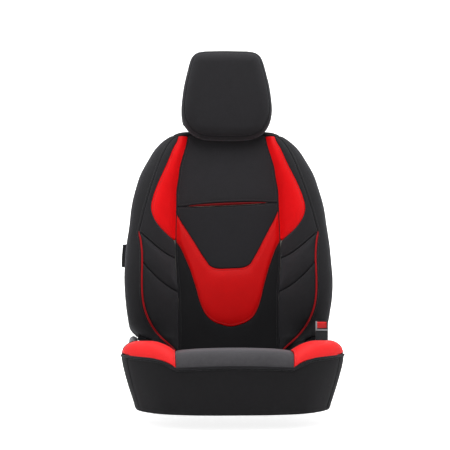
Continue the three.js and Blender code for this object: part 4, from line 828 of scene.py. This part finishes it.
for side, s in (("left", -1), ("right", 1)):
    def M2(path_or_pts, smooth=True):
        q = path_or_pts.p if isinstance(path_or_pts, Path) else (catmull(path_or_pts) if smooth and len(path_or_pts) > 2 else np.array(path_or_pts, float))
        return Path(q * [s, 1], False)
    # the shoulder panels use the lighter red copy, which is a painted highlight
    panel(f"cover_shoulder_{side}", on_front(coons(M2(vpath(1, 613, 314)), M2(SHOULDER), M2([(106, 613), (131.5, 613.5)]), M2([(139, 314), (148, 314)]))), FWD, BACK,
          "red_upper_painted_highlight", "backrest", f"shoulder_panel_{side}", stitch=(0, 0, 0, 4.5), roll=2.0, dip=0.5, crown=3.4, reach=16, thread="thread_red", wrinkle=0.5, pucker=0.3)
    up_in = M2(np.vstack([catmull(SHOULDER)[:-12], catmull([(150.5, 315.8), (146, 312.6), (141.5, 308.5), (139.3, 300), (138.5, 280), (138.5, 261.5)])]), False)
    panel(f"cover_bolster_upper_{side}", on_front(coons(up_in, M2(seam_between(612.3, 322.5), False), M2([(131.5, 613.5), (136.5, 612.3)]), M2(UPPER_ARC))), FWD, BACK,
          "black", "backrest", f"bolster_upper_{side}", stitch=(0, 5, 0, 0), crown=1.2)
    panel(f"cover_bolster_mid_{side}", on_front(coons(M2(UPPER_ARC), M2(LOWER_ARC), M2(vpath(1, 261.5, 168.5)), M2(seam_between(322.5, 240), False))), FWD, BACK,
          "black_soft", "backrest", f"bolster_mid_{side}", stitch=(0, 0, 0, 0), crown=5.5, reach=20, roll=5.0, dip=2.0)
    low = np.vstack([seam_between(240, 14), [[139.5, 12]]])
    panel(f"cover_bolster_lower_{side}", on_front(coons(M2(low, False), M2(vpath(1, 168.5, 12)), M2(Path(LOWER_ARC).p[::-1], False), M2([(139.5, 12), (132, 12)]))), FWD, BACK,
          "black", "backrest", f"bolster_lower_{side}", stitch=(5, 0, 0, 0), crown=3.5, reach=26, roll=5.0, dip=2.0)
    # piping laid in the outer seam
    t = np.linspace(0, pipe_end * 1.0, 60)
    q = front_seam(t)
    e = 0.4
    y = back_front(q[:, 0], q[:, 1])
    gx, gv = (back_front(q[:, 0] - e, q[:, 1]) - y) / -e, (back_front(q[:, 0], q[:, 1] + e) - y) / e
    nn = np.stack([gx, -np.ones_like(gx), gv], -1)
    nn /= np.linalg.norm(nn, axis=1, keepdims=True)
    pts = np.stack([q[:, 0], y, q[:, 1]], -1) + nn * 0.9
    pts[:, 0] *= s
    tube(f"bolster_piping_{side}", pts, 2.35, "piping", "backrest", BACK, f"piping_{side}", taper=14)

# lower corners of the back cover, tucked down between the back and the cushion
for side, s in (("left", -1), ("right", 1)):
    top = Path([(143, 18), (158, 27), (186, 45), (206, 52), (222, 61), (238, 71)])
    low = Path([(141, 2), (160, 2), (186, 6), (203, 18), (212, 34), (240, 44)])
    k = np.linspace(0, 1, 12)[None, :, None]
    G = top(np.linspace(0, 1, 34))[:, None] * (1 - k) + low(np.linspace(0, 1, 34))[:, None] * k
    panel(f"cover_tuck_corner_{side}", np.stack([s * G[..., 0], back_front(G[..., 0], G[..., 1]) + 7.0, G[..., 1]], -1), FWD, BACK, "black_side", "backrest", None,
          seams=(0, 0, 0, 0), crown=0, roll=0.1, dip=0, t=2.6, wrinkle=0.8, pucker=0)

# underside of the back cover, from the lower seam round to the rear
xq = np.linspace(-188, 188, 80)
vb = np.interp(np.abs(xq), [0, 140, 165, 180, 196], [-22, -22, -20, -17, -2]) + 0.4
cols = []
for k in (1, 0.8, 0.6, 0.42, 0.28, 0.17, 0.09, 0.04, 0.01, 0):
    v = vb + (9 - vb) * k
    cols.append(np.stack([xq, back_front(xq, v) + 2.4, v], -1))
y0 = cols[-1][:, 1]
for k in np.linspace(0, 1, 9)[1:]:
    cols.append(np.stack([xq, y0 + (15 - y0) * k, vb], -1))
panel("cover_back_underside", np.stack(cols, 1), around((0, 0, 320)), BACK, "black_side", "backrest", None,
      seams=(0, 0, 0, 0), crown=0, roll=0.1, dip=0, t=2.2, wrinkle=0.3, pucker=0)

# side and top gussets, from the front seam round the outline to the rear seam
PAIRS = [((149, 20.5), (219.6, 51)), ((160, 30), (223.7, 53)), ((186, 55), (234.5, 59)), ((209, 86), (261.3, 84)), ((222, 118), (269.5, 119)), ((227.5, 150), (273.8, 150)), ((229, 195), (275.3, 197)),
         ((228.5, 254), (274.1, 252)), ((232.5, 298.5), (270.4, 299)), ((237, 322.5), (267.8, 322.5)), ((231, 350), (264.6, 350)), ((223, 385), (260.6, 385)),
         ((213, 420), (255.3, 420)), ((203, 457), (247.5, 457)), ((191, 497), (236, 497)), ((180, 535), (219.5, 535)), ((168, 568), (202.3, 568)), ((155, 594), (184, 594)),
         ((143, 608), (163, 614.2)), ((137, 612.2), (152.5, 621.2))]
TOP_PAIRS = [((134.8, 613), (149.6, 622.9)), ((121, 616), (130, 631)), ((106, 618.2), (108, 635.2)), ((78, 619.9), (78, 637.2)), ((60, 620.4), (60, 637.6)), ((44, 620.8), (44, 637.8)), ((0, 621.2), (0, 638))]


def gusset(pairs, per, poly_dist, front_fn, front_base_fn, rear_base_fn, roll_f, roll_r, depth_in):
    g = catmull([p[0] for p in pairs], per)
    o = catmull([p[1] for p in pairs], per)
    e = 0.5
    px, pv = o[:, 0] * 0.985, o[:, 1] + (300 - o[:, 1]) * 0.02
    nx = poly_dist(px + e, pv) - poly_dist(px - e, pv)
    nv = poly_dist(px, pv + e) - poly_dist(px, pv - e)
    l = np.hypot(nx, nv)
    nx, nv = nx / l, nv / l
    ds = np.hypot(*(g - o).T)
    cols = []
    rf = np.minimum(roll_f, ds * 1.0)
    phi = np.arccos(np.clip(1 - np.minimum(ds, roll_f) / roll_f, -1, 1))
    flat = np.maximum(ds - roll_f, 0)
    fr = np.concatenate([[0, 0.04, 0.1, 0.18], np.linspace(0.28, 1, 7)])
    for k in fr:
        delta = roll_f * (1 - np.cos(phi * (1 - k))) + flat * (1 - k) ** 2
        delta = np.minimum(delta, ds * (1 - 0.6 / np.maximum(ds, 2)))
        lam = 1 - delta / ds
        x, v = g[:, 0] + (o[:, 0] - g[:, 0]) * lam, g[:, 1] + (o[:, 1] - g[:, 1]) * lam
        if k == 1:
            cols.append(np.stack([o[:, 0], -(front_base_fn(o[:, 0], o[:, 1]) - roll_f), o[:, 1]], -1))
        else:
            cols.append(np.stack([x, front_fn(x, v), v], -1))
    yf = cols[-1][:, 1]
    yr = rear_base_fn(o[:, 0], o[:, 1]) - roll_r
    for k in np.linspace(0, 1, 10)[1:]:
        cols.append(np.stack([o[:, 0], yf + (yr - yf) * k, o[:, 1]], -1))
    kk = min(1, depth_in / (roll_r * (1 - math.cos(70 * D2R))))
    for ps in (12, 24, 36, 46, 54, 60, 65, 68, 70):
        dd = roll_r * (1 - math.cos(ps * D2R)) * kk
        x, v = o[:, 0] + nx * dd, o[:, 1] + nv * dd
        cols.append(np.stack([x, yr + (rear_base_fn(x, v) - rear_base_fn(o[:, 0], o[:, 1])) + roll_r * math.sin(ps * D2R), v], -1))
    return np.stack(cols, 1)


SIDE = gusset(PAIRS, 9, back_dist, back_front, back_base, rear_base, BACK_ROLL, BACK_REAR_ROLL, 17.8)
# long soft pulls where the side cloth is stretched round the bolster
for side, s in (("left", -1), ("right", 1)):
    P = SIDE.copy()
    v = P[..., 2]
    amp = np.sin(np.clip(np.linspace(0, 1, P.shape[1]), 0, 1) * np.pi)[None] ** 0.7
    P[..., 0] += amp * (0.9 * np.sin(v / 31.0 + 1.1 * (s + 1)) + 0.6 * np.sin(v / 17.0 + 0.4 * P[..., 1] / 10)) * np.clip((v - 60) / 60, 0, 1) * 0.7
    P[..., 0] *= s
    panel(f"cover_gusset_{side}", P, around((0, 0, 320)), BACK, "black_side", "backrest", f"side_gusset_{side}", stitch=(0, 0, 6, 5), roll=3.0, crown=0.6)
full = TOP_PAIRS + [((-g[0], g[1]), (-o[0], o[1])) for g, o in TOP_PAIRS[:-1][::-1]]
TOP = gusset(full, 8, back_dist, back_front, back_base, rear_base, BACK_ROLL, BACK_REAR_ROLL, 17.8)
panel("cover_top_gusset", TOP, around((0, 0, 320)), BACK, "black_side", "backrest", "top_gusset", stitch=(0, 0, 5, 5), roll=3.0, crown=0.4,
      drop_faces=lambda c: (np.hypot(np.abs(c[..., 0]) - POST_X, c[..., 1] - POST_Y) < 10.8) & (c[..., 2] > 600))

# rear panel
def width_inside(dist, inside, v, off, hi):
    x = np.linspace(0, hi, 1200)
    ok = inside(x, np.full_like(x, v)) & (dist(x, np.full_like(x, v)) >= off)
    return x[ok].max() if ok.any() else 0.5


va = np.concatenate([[-2, -1, 1, 4], np.arange(9, 606, 5.5), [609, 612, 614, 615.4, 616.3]])
ww = np.array([width_inside(back_dist, back_in, v, 18.6, 290) for v in va])
kk = np.unique(np.concatenate([steps(500, 8.0) * 2 - 1]))
GX = ww[:, None] * kk[None]
GV = np.repeat(va[:, None], len(kk), 1)
RP = np.stack([GX, back_rear(GX, GV), GV], -1)
panel("cover_rear_panel", RP, (0, 1, 0), BACK, "black_side", "backrest", "rear_panel", stitch=(0, 5, 5, 5), crown=0.6, t=3.4, wrinkle=0.9)

# ------------------------------------------------------------------ headrest
hp = Path(np.vstack([head_poly, head_poly[:1]]), False)
NH = 168
ring_o = hp(np.linspace(0, 1, NH + 1))
tn = np.gradient(np.vstack([ring_o[-2:-1], ring_o, ring_o[1:2]]), axis=0)[1:-1]
ring_n = np.stack([-tn[:, 1], tn[:, 0]], -1)
ring_n /= np.linalg.norm(ring_n, axis=1, keepdims=True)
flip = ((np.array([0, 120]) - ring_o) * ring_n).sum(1) < 0
ring_n[flip] *= -1
core_c = np.stack([ring_o[:, 0] * 0.12, np.clip(ring_o[:, 1], 88, 150)], -1)


def head_rings(d0, surf, n=26, near=(0, 0.8, 2.0, 3.6, 5.6, 8.0)):
    cols = []
    start = ring_o + ring_n * (d0 + GAP)
    L = np.linalg.norm(core_c - start, axis=1)
    ds = list(near) + [8.0 + (1 - 0) * x for x in ()]
    tail = np.linspace(0, 1, n) ** 1.0
    for x in ds:
        q = start + ring_n * x
        cols.append(q)
    base = cols[-1]
    for k in tail[1:]:
        cols.append(base + (core_c - base) * k)
    Q = np.stack(cols, 1)
    return np.stack([Q[..., 0], surf(Q[..., 0], Q[..., 1]), Q[..., 1]], -1)


def eyelets(c):
    w = np.stack([c[..., 0], c[..., 1], c[..., 2], np.ones(c.shape[:2])], -1) @ np.array(BACK.inverted() @ HEAD).T
    return (np.hypot(np.abs(w[..., 0]) - POST_X, w[..., 1] - POST_Y) < 8.6) & (c[..., 2] < 62)


HF = head_rings(HEAD_SEAM, head_front)
HR = head_rings(HEAD_SEAM, head_rear, n=34)
cf = around((0, 10, 120))
panel("headrest_front", HF, cf, HEAD, "black", "headrest", "headrest_cover_front", seams=(0, 0, 1, 0), stitch=(0, 0, 0, 0), roll=1.3, dip=0.4, crown=1.2, reach=40, wrinkle=0.9,
      loop_i=True, cap_j=True)
panel("headrest_rear", HR, (0, 1, 0), HEAD, "black", "headrest", "headrest_cover_rear", seams=(0, 0, 1, 0), stitch=(0, 0, 4, 0), roll=1.2, dip=0.4, crown=0.3, reach=40, wrinkle=0.4, t=3.2,
      loop_i=True, cap_j=True, drop_faces=eyelets)
cols = []
for a in np.concatenate([[0, 0.05, 0.12], np.linspace(0.22, 1, 7)]):
    d = np.where(a < 1, (HEAD_SEAM - GAP) * (1 - a) ** 2, 0.0)
    q = ring_o + ring_n * d
    yv = head_front(q[:, 0], q[:, 1]) if a < 1 else -(head_base(q[:, 0], q[:, 1]) - head_roll(q[:, 1]))
    cols.append(np.stack([q[:, 0], yv, q[:, 1]], -1))
yf = cols[-1][:, 1]
yr = head_rear_base(ring_o[:, 0], ring_o[:, 1]) - head_rear_roll(ring_o[:, 1])
for k in np.linspace(0, 1, 8)[1:]:
    cols.append(np.stack([ring_o[:, 0], yf + (yr - yf) * k, ring_o[:, 1]], -1))
for a in np.concatenate([np.linspace(0, 0.78, 6)[1:], [0.88, 0.95, 1.0]]):
    q = ring_o + ring_n * ((HEAD_SEAM - GAP) * a * a)
    cols.append(np.stack([q[:, 0], head_rear(q[:, 0], q[:, 1]), q[:, 1]], -1))
HBAND = np.stack(cols, 1)
panel("headrest_band", HBAND, cf, HEAD, "black_side", "headrest", "headrest_cover_band", seams=(0, 0, 1, 1), roll=1.3, dip=0.3, crown=0.3, wrinkle=0.3, t=3.2, loop_i=True)

# ------------------------------------------------------------------ cushion
def front_y(x):
    ax = np.abs(np.asarray(x, float))
    half = catmull(PLAN, 10)
    half = half[: np.argmax(half[:, 0])]
    return np.interp(ax, half[:, 0], half[:, 1])


def on_cushion(G):
    return np.stack([G[..., 0], G[..., 1], cushion_top(G[..., 0], G[..., 1])], -1)


UP = (0, -0.3, 1)
u = steps(2 * CV, 4.2)
gx = (u * 2 - 1) * (CV - GAP)
ph = np.concatenate([np.array([0.35, 1.0, 2.0, 3.3, 5, 7]) * D2R * 1.5, np.linspace(13, 90, 14) * D2R])
front_off = 38 * (1 - np.cos(ph))
rear = steps(116 + 224, 4.6, (False, True))
rows = []
for k, d in enumerate(front_off):
    rows.append(front_y(gx) + np.maximum(d, 0.05))
y1 = rows[-1]
for r in rear[1:]:
    rows.append(y1 + (115.2 - y1) * r)
GY = np.stack(rows, 1)
GXc = np.repeat(gx[:, None], GY.shape[1], 1)
# the seat centre uses the lighter spacer mesh copy, which is a painted highlight
panel("seat_center", on_cushion(np.stack([GXc, GY], -1)), UP, IDENT, "mesh_seat_painted_highlight", "base", "cushion_center_cover", stitch=(5, 5, 0, 0), crown=1.2, reach=26, wrinkle=0.7)
warp = lambda t: 1 - (1 - t) ** 1.9
for side, s in (("left", -1), ("right", 1)):
    fy = float(front_y(CV))
    a = Path([(CV, -120), (CV, -190), (CV, fy + 0.1)], False)
    b = Path([(274.9, -112), (273.3, -128), (265.4, -157), (255.2, -176)])
    e0 = Path([(CV, -120), (210, -118), (274.9, -112)])
    e1 = Path([(CV, fy + 0.1), (189, -235.9), (221.7, -214.0), (248, -187), (255.2, -176)])
    uu, vv = warp(np.linspace(0, 1, 40)), warp(np.linspace(0, 1, 40))
    fine = np.array([0, 0.006, 0.016, 0.03])
    uu = np.unique(np.concatenate([fine, uu[uu > 0.04], [0.9995, 0.999, 0.997]]))
    vv = np.unique(np.concatenate([fine, vv[vv > 0.04], [0.9995, 0.999, 0.997]]))
    U, W = np.meshgrid(0.0025 + uu * 0.9955, 0.0025 + vv * 0.9955, indexing="ij")
    A, B, E, R = a(U), b(U), e0(W), e1(W)
    G = ((1 - W)[..., None] * A + W[..., None] * B + (1 - U)[..., None] * E + U[..., None] * R
         - (((1 - U) * (1 - W))[..., None] * a(0) + (U * (1 - W))[..., None] * a(1) + ((1 - U) * W)[..., None] * b(0) + (U * W)[..., None] * b(1)))
    G = G * [s, 1]
    # the red corners use the lighter, pinker red copy, which is a painted highlight
    panel(f"seat_corner_{side}", on_cushion(G), (s * 0.5, -0.5, 1), IDENT, "red_seat_painted_highlight", "base", f"cushion_corner_{side}", stitch=(4.5, 0, 4.5, 0), roll=1.6, dip=0.1, crown=2.2, reach=20, thread="thread_red", wrinkle=0.5,
          pucker=0.3)
    ys = np.concatenate([[0, 0.8, 2.0, 3.6, 6], np.arange(10, 222, 4.6), [223, 224.5, 225.3]])
    G = []
    for yy in ys:
        y0 = -118 + yy
        xe = width_inside(plan_dist, plan_in, y0, 0.35, 282)
        d = xe - CV
        ang = np.concatenate([np.linspace(90, 10, 12), [5, 2.5, 1, 0]]) * D2R
        r = float(cushion_roll(y0))
        outer = xe - r * (1 - np.cos(ang))
        inner = CV + GAP + (outer[0] - CV - GAP) * np.array([0, 0.02, 0.05, 0.1, 0.16, 0.25, 0.37, 0.5, 0.63, 0.76, 0.88])
        row = np.concatenate([inner, outer])
        w = np.clip((row - CV) / 132.9, 0, 1)
        lead = e0(w)[:, 1] + 0.7
        yrow = np.maximum(y0, lead + yy * 0.0) if yy < 12 else np.full_like(row, y0)
        yrow = lead + yy if yy < 12 else np.maximum(y0, lead + 11.9 + (yy - 12) * 0.05)
        G.append(np.stack([row * s, yrow], -1))
    G = np.stack(G)
    panel(f"seat_bolster_{side}", on_cushion(G), (s * 0.5, 0, 1), IDENT, "black_soft", "base", f"cushion_bolster_cover_{side}", stitch=(0, 0, 0, 0), roll=2.2, dip=0.4, crown=1.5, reach=24, wrinkle=0.6)

frun = Path([(-259.5, -170), (-249, -186), (-222, -214), (-189, -236), (-151, -250), (-110, -258), (-60, -261.5), (0, -262), (60, -261.5), (110, -258), (151, -250), (189, -236), (222, -214), (249, -186), (259.5, -170)])
srun = Path([(260.6, -167.5), (266.5, -157), (274.5, -128), (276, -95), (275, -50), (268, -5), (253, 14), (232, 28), (213, 42), (208, 60), (207, 88)])


def skirt_grid(run, step=4.4, ends=(False, False)):
    q = run(steps(run.total, step, ends))
    zt = cushion_base(q[:, 0], q[:, 1]) - cushion_roll(q[:, 1]) + 2.6
    hem = 6 + 51 * np.clip((q[:, 1] + 5) / 22, 0, 1)
    hem = np.where(q[:, 1] > -5, 6 + 51 * (3 * np.clip((q[:, 1] + 5) / 22, 0, 1) ** 2 - 2 * np.clip((q[:, 1] + 5) / 22, 0, 1) ** 3), 6.0)
    k = steps(115, 4.6)
    Z = zt[:, None] + (hem - zt)[:, None] * k[None]
    P = skirt_point(q[:, :1], q[:, 1:2], Z)
    s_along = np.concatenate([[0], np.cumsum(np.linalg.norm(np.diff(q, axis=0), axis=1))])[:, None]
    low = (k[None] ** 1.6)
    sway = low * (1.5 * np.sin(s_along / 37.0 + 0.6) + 0.9 * np.sin(s_along / 19.0 + 2.0 + 1.3 * np.sin(s_along / 90.0)))
    nrm = np.gradient(q, axis=0)
    nrm = np.stack([nrm[:, 1], -nrm[:, 0]], -1)
    nrm /= np.linalg.norm(nrm, axis=1, keepdims=True)
    sg = np.sign((nrm * q).sum(1))[:, None]
    P[..., 0] += (nrm * sg)[:, :1] * sway * 0.8 * np.clip((Z - 4) / 12, 0, 1)
    P[..., 1] += (nrm * sg)[:, 1:] * sway * 0.8 * np.clip((Z - 4) / 12, 0, 1)
    return P


out_walls = around((0, -60, 60))
# the front and side skirts use the darker black cloth copy, which is painted shade
panel("seat_skirt_front", skirt_grid(frun), out_walls, IDENT, "black_low_painted_shade", "base", "cushion_front_skirt", seams=(0, 0, 1, 0), stitch=(0, 0, 5, 0), roll=1.6, dip=0.1, crown=0.8, reach=18, t=3.6, hem=13)
for side, s in (("left", -1), ("right", 1)):
    P = skirt_grid(srun)
    P[..., 0] *= s
    panel(f"seat_skirt_{side}", P, out_walls, IDENT, "black_low_painted_shade", "base", f"cushion_side_skirt_{side}", seams=(0, 0, 1, 0), stitch=(0, 0, 5, 0), roll=1.6, dip=0.1, crown=0.8, reach=18, t=3.6, hem=12)
# dark cord in the seam between the top panels and the skirt
run = np.vstack([(srun.p * [-1, 1])[::-1], frun.p, srun.p])
keep = np.concatenate([[True], np.linalg.norm(np.diff(run, axis=0), axis=1) > 0.4])
rp = Path(run[keep], False)(np.linspace(0, 1, 240))
z = cushion_base(rp[:, 0], rp[:, 1]) - cushion_roll(rp[:, 1]) + 3.4
nrm = np.gradient(rp, axis=0)
nrm = np.stack([nrm[:, 1], -nrm[:, 0]], -1)
nrm /= np.linalg.norm(nrm, axis=1, keepdims=True)
tube("seat_edge_cord", np.stack([rp[:, 0] - nrm[:, 0] * 1.4, rp[:, 1] - nrm[:, 1] * 1.4, z], -1), 3.1, "cord_black", "base", IDENT, ref=(0, 0, 1), step=3.4, taper=10)
# cord round the rear edge of each red corner
for side, s in (("left", -1), ("right", 1)):
    q = Path([(CV, -120), (210, -118), (274.5, -112)])(np.linspace(0.0, 0.985, 40)) * [s, 1]
    tube(f"seat_corner_cord_{side}", np.stack([q[:, 0], q[:, 1], cushion_top(q[:, 0], q[:, 1]) - 0.3], -1), 1.9, "cord_black", "base", IDENT, ref=(0, 0, 1), taper=8)

# flap that hangs down behind the cushion
xq = np.linspace(-186, 186, 80)
zq = np.concatenate([[96.5, 96, 95, 93.5], np.linspace(91, 60, 9), [58, 56.8, 56]])
PT = np.stack(np.broadcast_arrays(xq[:, None], 116 + 0.5 * np.sin(xq[:, None] / 23.0) * ((96.5 - zq[None]) / 40) - 0.3, zq[None]), -1)
panel("seat_tuck_flap", PT, (0, 1, 0), IDENT, "black_side", "base", "cushion_tuck_flap", seams=(0, 0, 0, 0), crown=0, roll=0.1, dip=0, t=3.0, wrinkle=0.2, pucker=0)

# folded blank tag sewn into the left side seam
vs = np.linspace(249, 312, 22)
us = np.linspace(0, 1, 9)
G = np.stack(np.broadcast_arrays(-(half_w(vs)[:, None] + 0.3 + 11.5 * us[None] + 2.2 * us[None] * (vs[:, None] - 249) / 63),
                                 -23.4 + 1.3 * np.sin(us[None] * 2.6) * np.sin((vs[:, None] - 249) / 63 * 3.0), vs[:, None]), -1)
panel("side_label", G, FWD, BACK, "tag", "backrest", "side_tag", seams=(0, 0, 0, 0), crown=0, roll=0.1, dip=0, t=1.5, wrinkle=0, pucker=0, stitch=(3, 3, 0, 0))

sew()

# ------------------------------------------------------------------ recline hand wheel, ribbed rim
def wheel():
    na, lobes, R = 26 * 12, 26, 64.0
    prof = [(-217.8, 15.0), (-236, 15.0), (-240.6, 17.5), (-240.9, 22), (-241, 40), (-241.2, 52), (-242.5, 57.5), (-245.5, 61.5), (-249.5, 63.6), (-253, 64.0), (-256.5, 63.6),
            (-260.5, 61.5), (-263.5, 57.5), (-264.9, 52), (-264.6, 47), (-262.6, 44), (-262.2, 36), (-262.6, 30.5), (-265.2, 27.5), (-267.6, 24.5), (-268.0, 20), (-268.0, 8), (-268.0, 0.6)]
    prof = catmull(prof, 4)
    V, F, UV = [], [], []
    th = np.arange(na) * 2 * np.pi / na
    for k, (x, r) in enumerate(prof):
        rib = np.clip((r - 47) / 14, 0, 1)
        w = np.abs(np.cos(th * lobes / 2)) ** 0.8
        rr = r - rib * 3.6 * (1 - w)
        V += [(x, HINGE_Y + q * math.cos(a), HINGE_Z + q * math.sin(a)) for q, a in zip(rr, th)]
        UV += [(a * 0.06, k * 0.004) for a in th]
    n = len(prof)
    for k in range(n - 1):
        for i in range(na):
            F.append((k * na + i, k * na + (i + 1) % na, (k + 1) * na + (i + 1) % na, (k + 1) * na + i))
    F.append(tuple(range(na))[::-1])
    F.append(tuple((n - 1) * na + i for i in range(na)))
    o = make_mesh("recline_hand_wheel", place(np.array(V), IDENT), F, "wheel", UV, sharp=55)
    recalc(o)
    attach(o, "recline_wheel_body")
    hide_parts("recline_wheel")


wheel()

# light grey rim of the belt buckle, round its button
def bar(name, x0, x1, y0, y1, z0, z1, mat, body, r=0.9):
    bm = bmesh.new()
    bmesh.ops.create_cube(bm, size=1)
    for v in bm.verts:
        v.co = Vector(((x0 + x1) / 2 + v.co.x * (x1 - x0), (y0 + y1) / 2 + v.co.y * (y1 - y0), (z0 + z1) / 2 + v.co.z * (z1 - z0))) * 0.001
    bmesh.ops.bevel(bm, geom=bm.edges[:], offset=r * 0.001, segments=3, affect="EDGES", profile=0.6)
    me = bpy.data.meshes.new(name)
    bm.to_mesh(me)
    bm.free()
    o = bpy.data.objects.new(name, me)
    scene.collection.objects.link(o)
    me.materials.append(MATS[mat])
    me.polygons.foreach_set("use_smooth", np.ones(len(me.polygons), bool))
    me.set_sharp_from_angle(angle=math.radians(40))
    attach(o, body)
    return o


BX, BY = 237.5, 63
bar("buckle_rim_side", BX - 16.6, BX - 12.4, BY - 13.4, BY - 9.9, 183.4, 207.2, "buckle_trim", "base")
bar("buckle_rim_low", BX - 12.2, BX + 15.8, BY - 13.4, BY - 12.6, 183.4, 187.2, "buckle_trim", "base")

# ------------------------------------------------------------------ CAD nodes that stay
KEEP = {
    "rail": ["lower_rail_left", "lower_rail_right", "track_tie"],
    "steel": ["upper_rail_left", "upper_rail_right", "seat_pan", "recliner_bracket_left", "recliner_bracket_right", "buckle_stalk", "frame_side_left", "frame_side_right", "frame_top", "frame_bottom"],
    "chrome": ["headrest_rod"],
    "plastic": ["headrest_guide_left", "headrest_guide_right", "headrest_release_button"],
    "buckle": ["buckle_housing"],
    "button": ["buckle_button"],
    "foam": ["cushion_foam_center", "cushion_foam_bolster_left", "cushion_foam_bolster_right", "back_foam_center", "back_foam_bolster_left", "back_foam_bolster_right", "headrest_core"],
}
for key, names in KEEP.items():
    for nme in names:
        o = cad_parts[nme]
        if not o.material_slots:
            o.data.materials.append(MATS[key])
        for sl in o.material_slots:
            sl.material = MATS[key]

# ------------------------------------------------------------------ studio
def studio():
    m, t, b = material("studio_white")
    b.inputs["Base Color"].default_value = (0.86, 0.86, 0.86, 1)
    b.inputs["Roughness"].default_value = 0.9
    b.inputs["Specular IOR Level"].default_value = 0.1
    b.inputs["Emission Color"].default_value = (1, 1, 1, 1)
    lp = t.nodes.new("ShaderNodeLightPath")
    em = math_node(t, "ADD", math_node(t, "MULTIPLY", lp.outputs["Is Camera Ray"], 0.75), 0.1)
    t.links.new(em, b.inputs["Emission Strength"])
    bm = bmesh.new()
    prof = [(-9, 0), (3.0, 0), (3.6, 0.06), (4.1, 0.24), (4.45, 0.52), (4.65, 0.9), (4.72, 1.5), (4.75, 8)]
    prof = catmull(prof, 6)
    rows = []
    for x in (-12, 12):
        rows.append([bm.verts.new((x, y, z)) for y, z in prof])
    for k in range(len(prof) - 1):
        bm.faces.new((rows[0][k], rows[1][k], rows[1][k + 1], rows[0][k + 1]))
    me = bpy.data.meshes.new("studio_sweep")
    bm.to_mesh(me)
    bm.free()
    me.polygons.foreach_set("use_smooth", np.ones(len(me.polygons), bool))
    o = bpy.data.objects.new("studio_sweep", me)
    scene.collection.objects.link(o)
    me.materials.append(m)

    def area(name, loc, aim, size, power, sy=None):
        l = bpy.data.lights.new(name, "AREA")
        l.shape = "RECTANGLE"
        l.size, l.size_y = size, sy or size
        l.energy = power
        ob = bpy.data.objects.new(name, l)
        ob.location = loc
        ob.rotation_euler = (Vector(aim) - Vector(loc)).to_track_quat("-Z", "Y").to_euler()
        scene.collection.objects.link(ob)

    area("key_top", (0.1, -0.9, 2.9), (0, 0.0, 0.3), 2.2, 62, 1.8)
    area("key_front", (-1.2, -3.2, 1.9), (0, 0, 0.5), 1.8, 17, 1.8)
    area("side_left", (-2.4, -0.3, 1.0), (0, 0, 0.5), 1.0, 8, 2.2)
    area("side_right", (2.4, -0.3, 1.0), (0, 0, 0.5), 1.0, 8, 2.2)
    area("wall", (0, 1.2, 3.4), (0, 4.6, 0.6), 4.0, 120, 1.5)
    w = bpy.data.worlds.new("studio") if scene.world is None else scene.world
    scene.world = w
    w.use_nodes = True
    bg = w.node_tree.nodes.get("Background")
    bg.inputs[0].default_value = (1, 1, 1, 1)
    bg.inputs[1].default_value = 0.26


studio()
scene.view_settings.view_transform = "Standard"
scene.view_settings.look = "None"

cam = bpy.data.cameras.new("camera")
cam.lens = 120
cam.sensor_width = 36
cam.clip_end = 60
co = bpy.data.objects.new("camera", cam)
co.location = (-0.150, -3.816, 0.5)
co.rotation_euler = (Vector((-0.0152, 0.0, 0.4575)) - co.location).to_track_quat("-Z", "Y").to_euler()
scene.collection.objects.link(co)
scene.camera = co

bpy.context.view_layer.update()
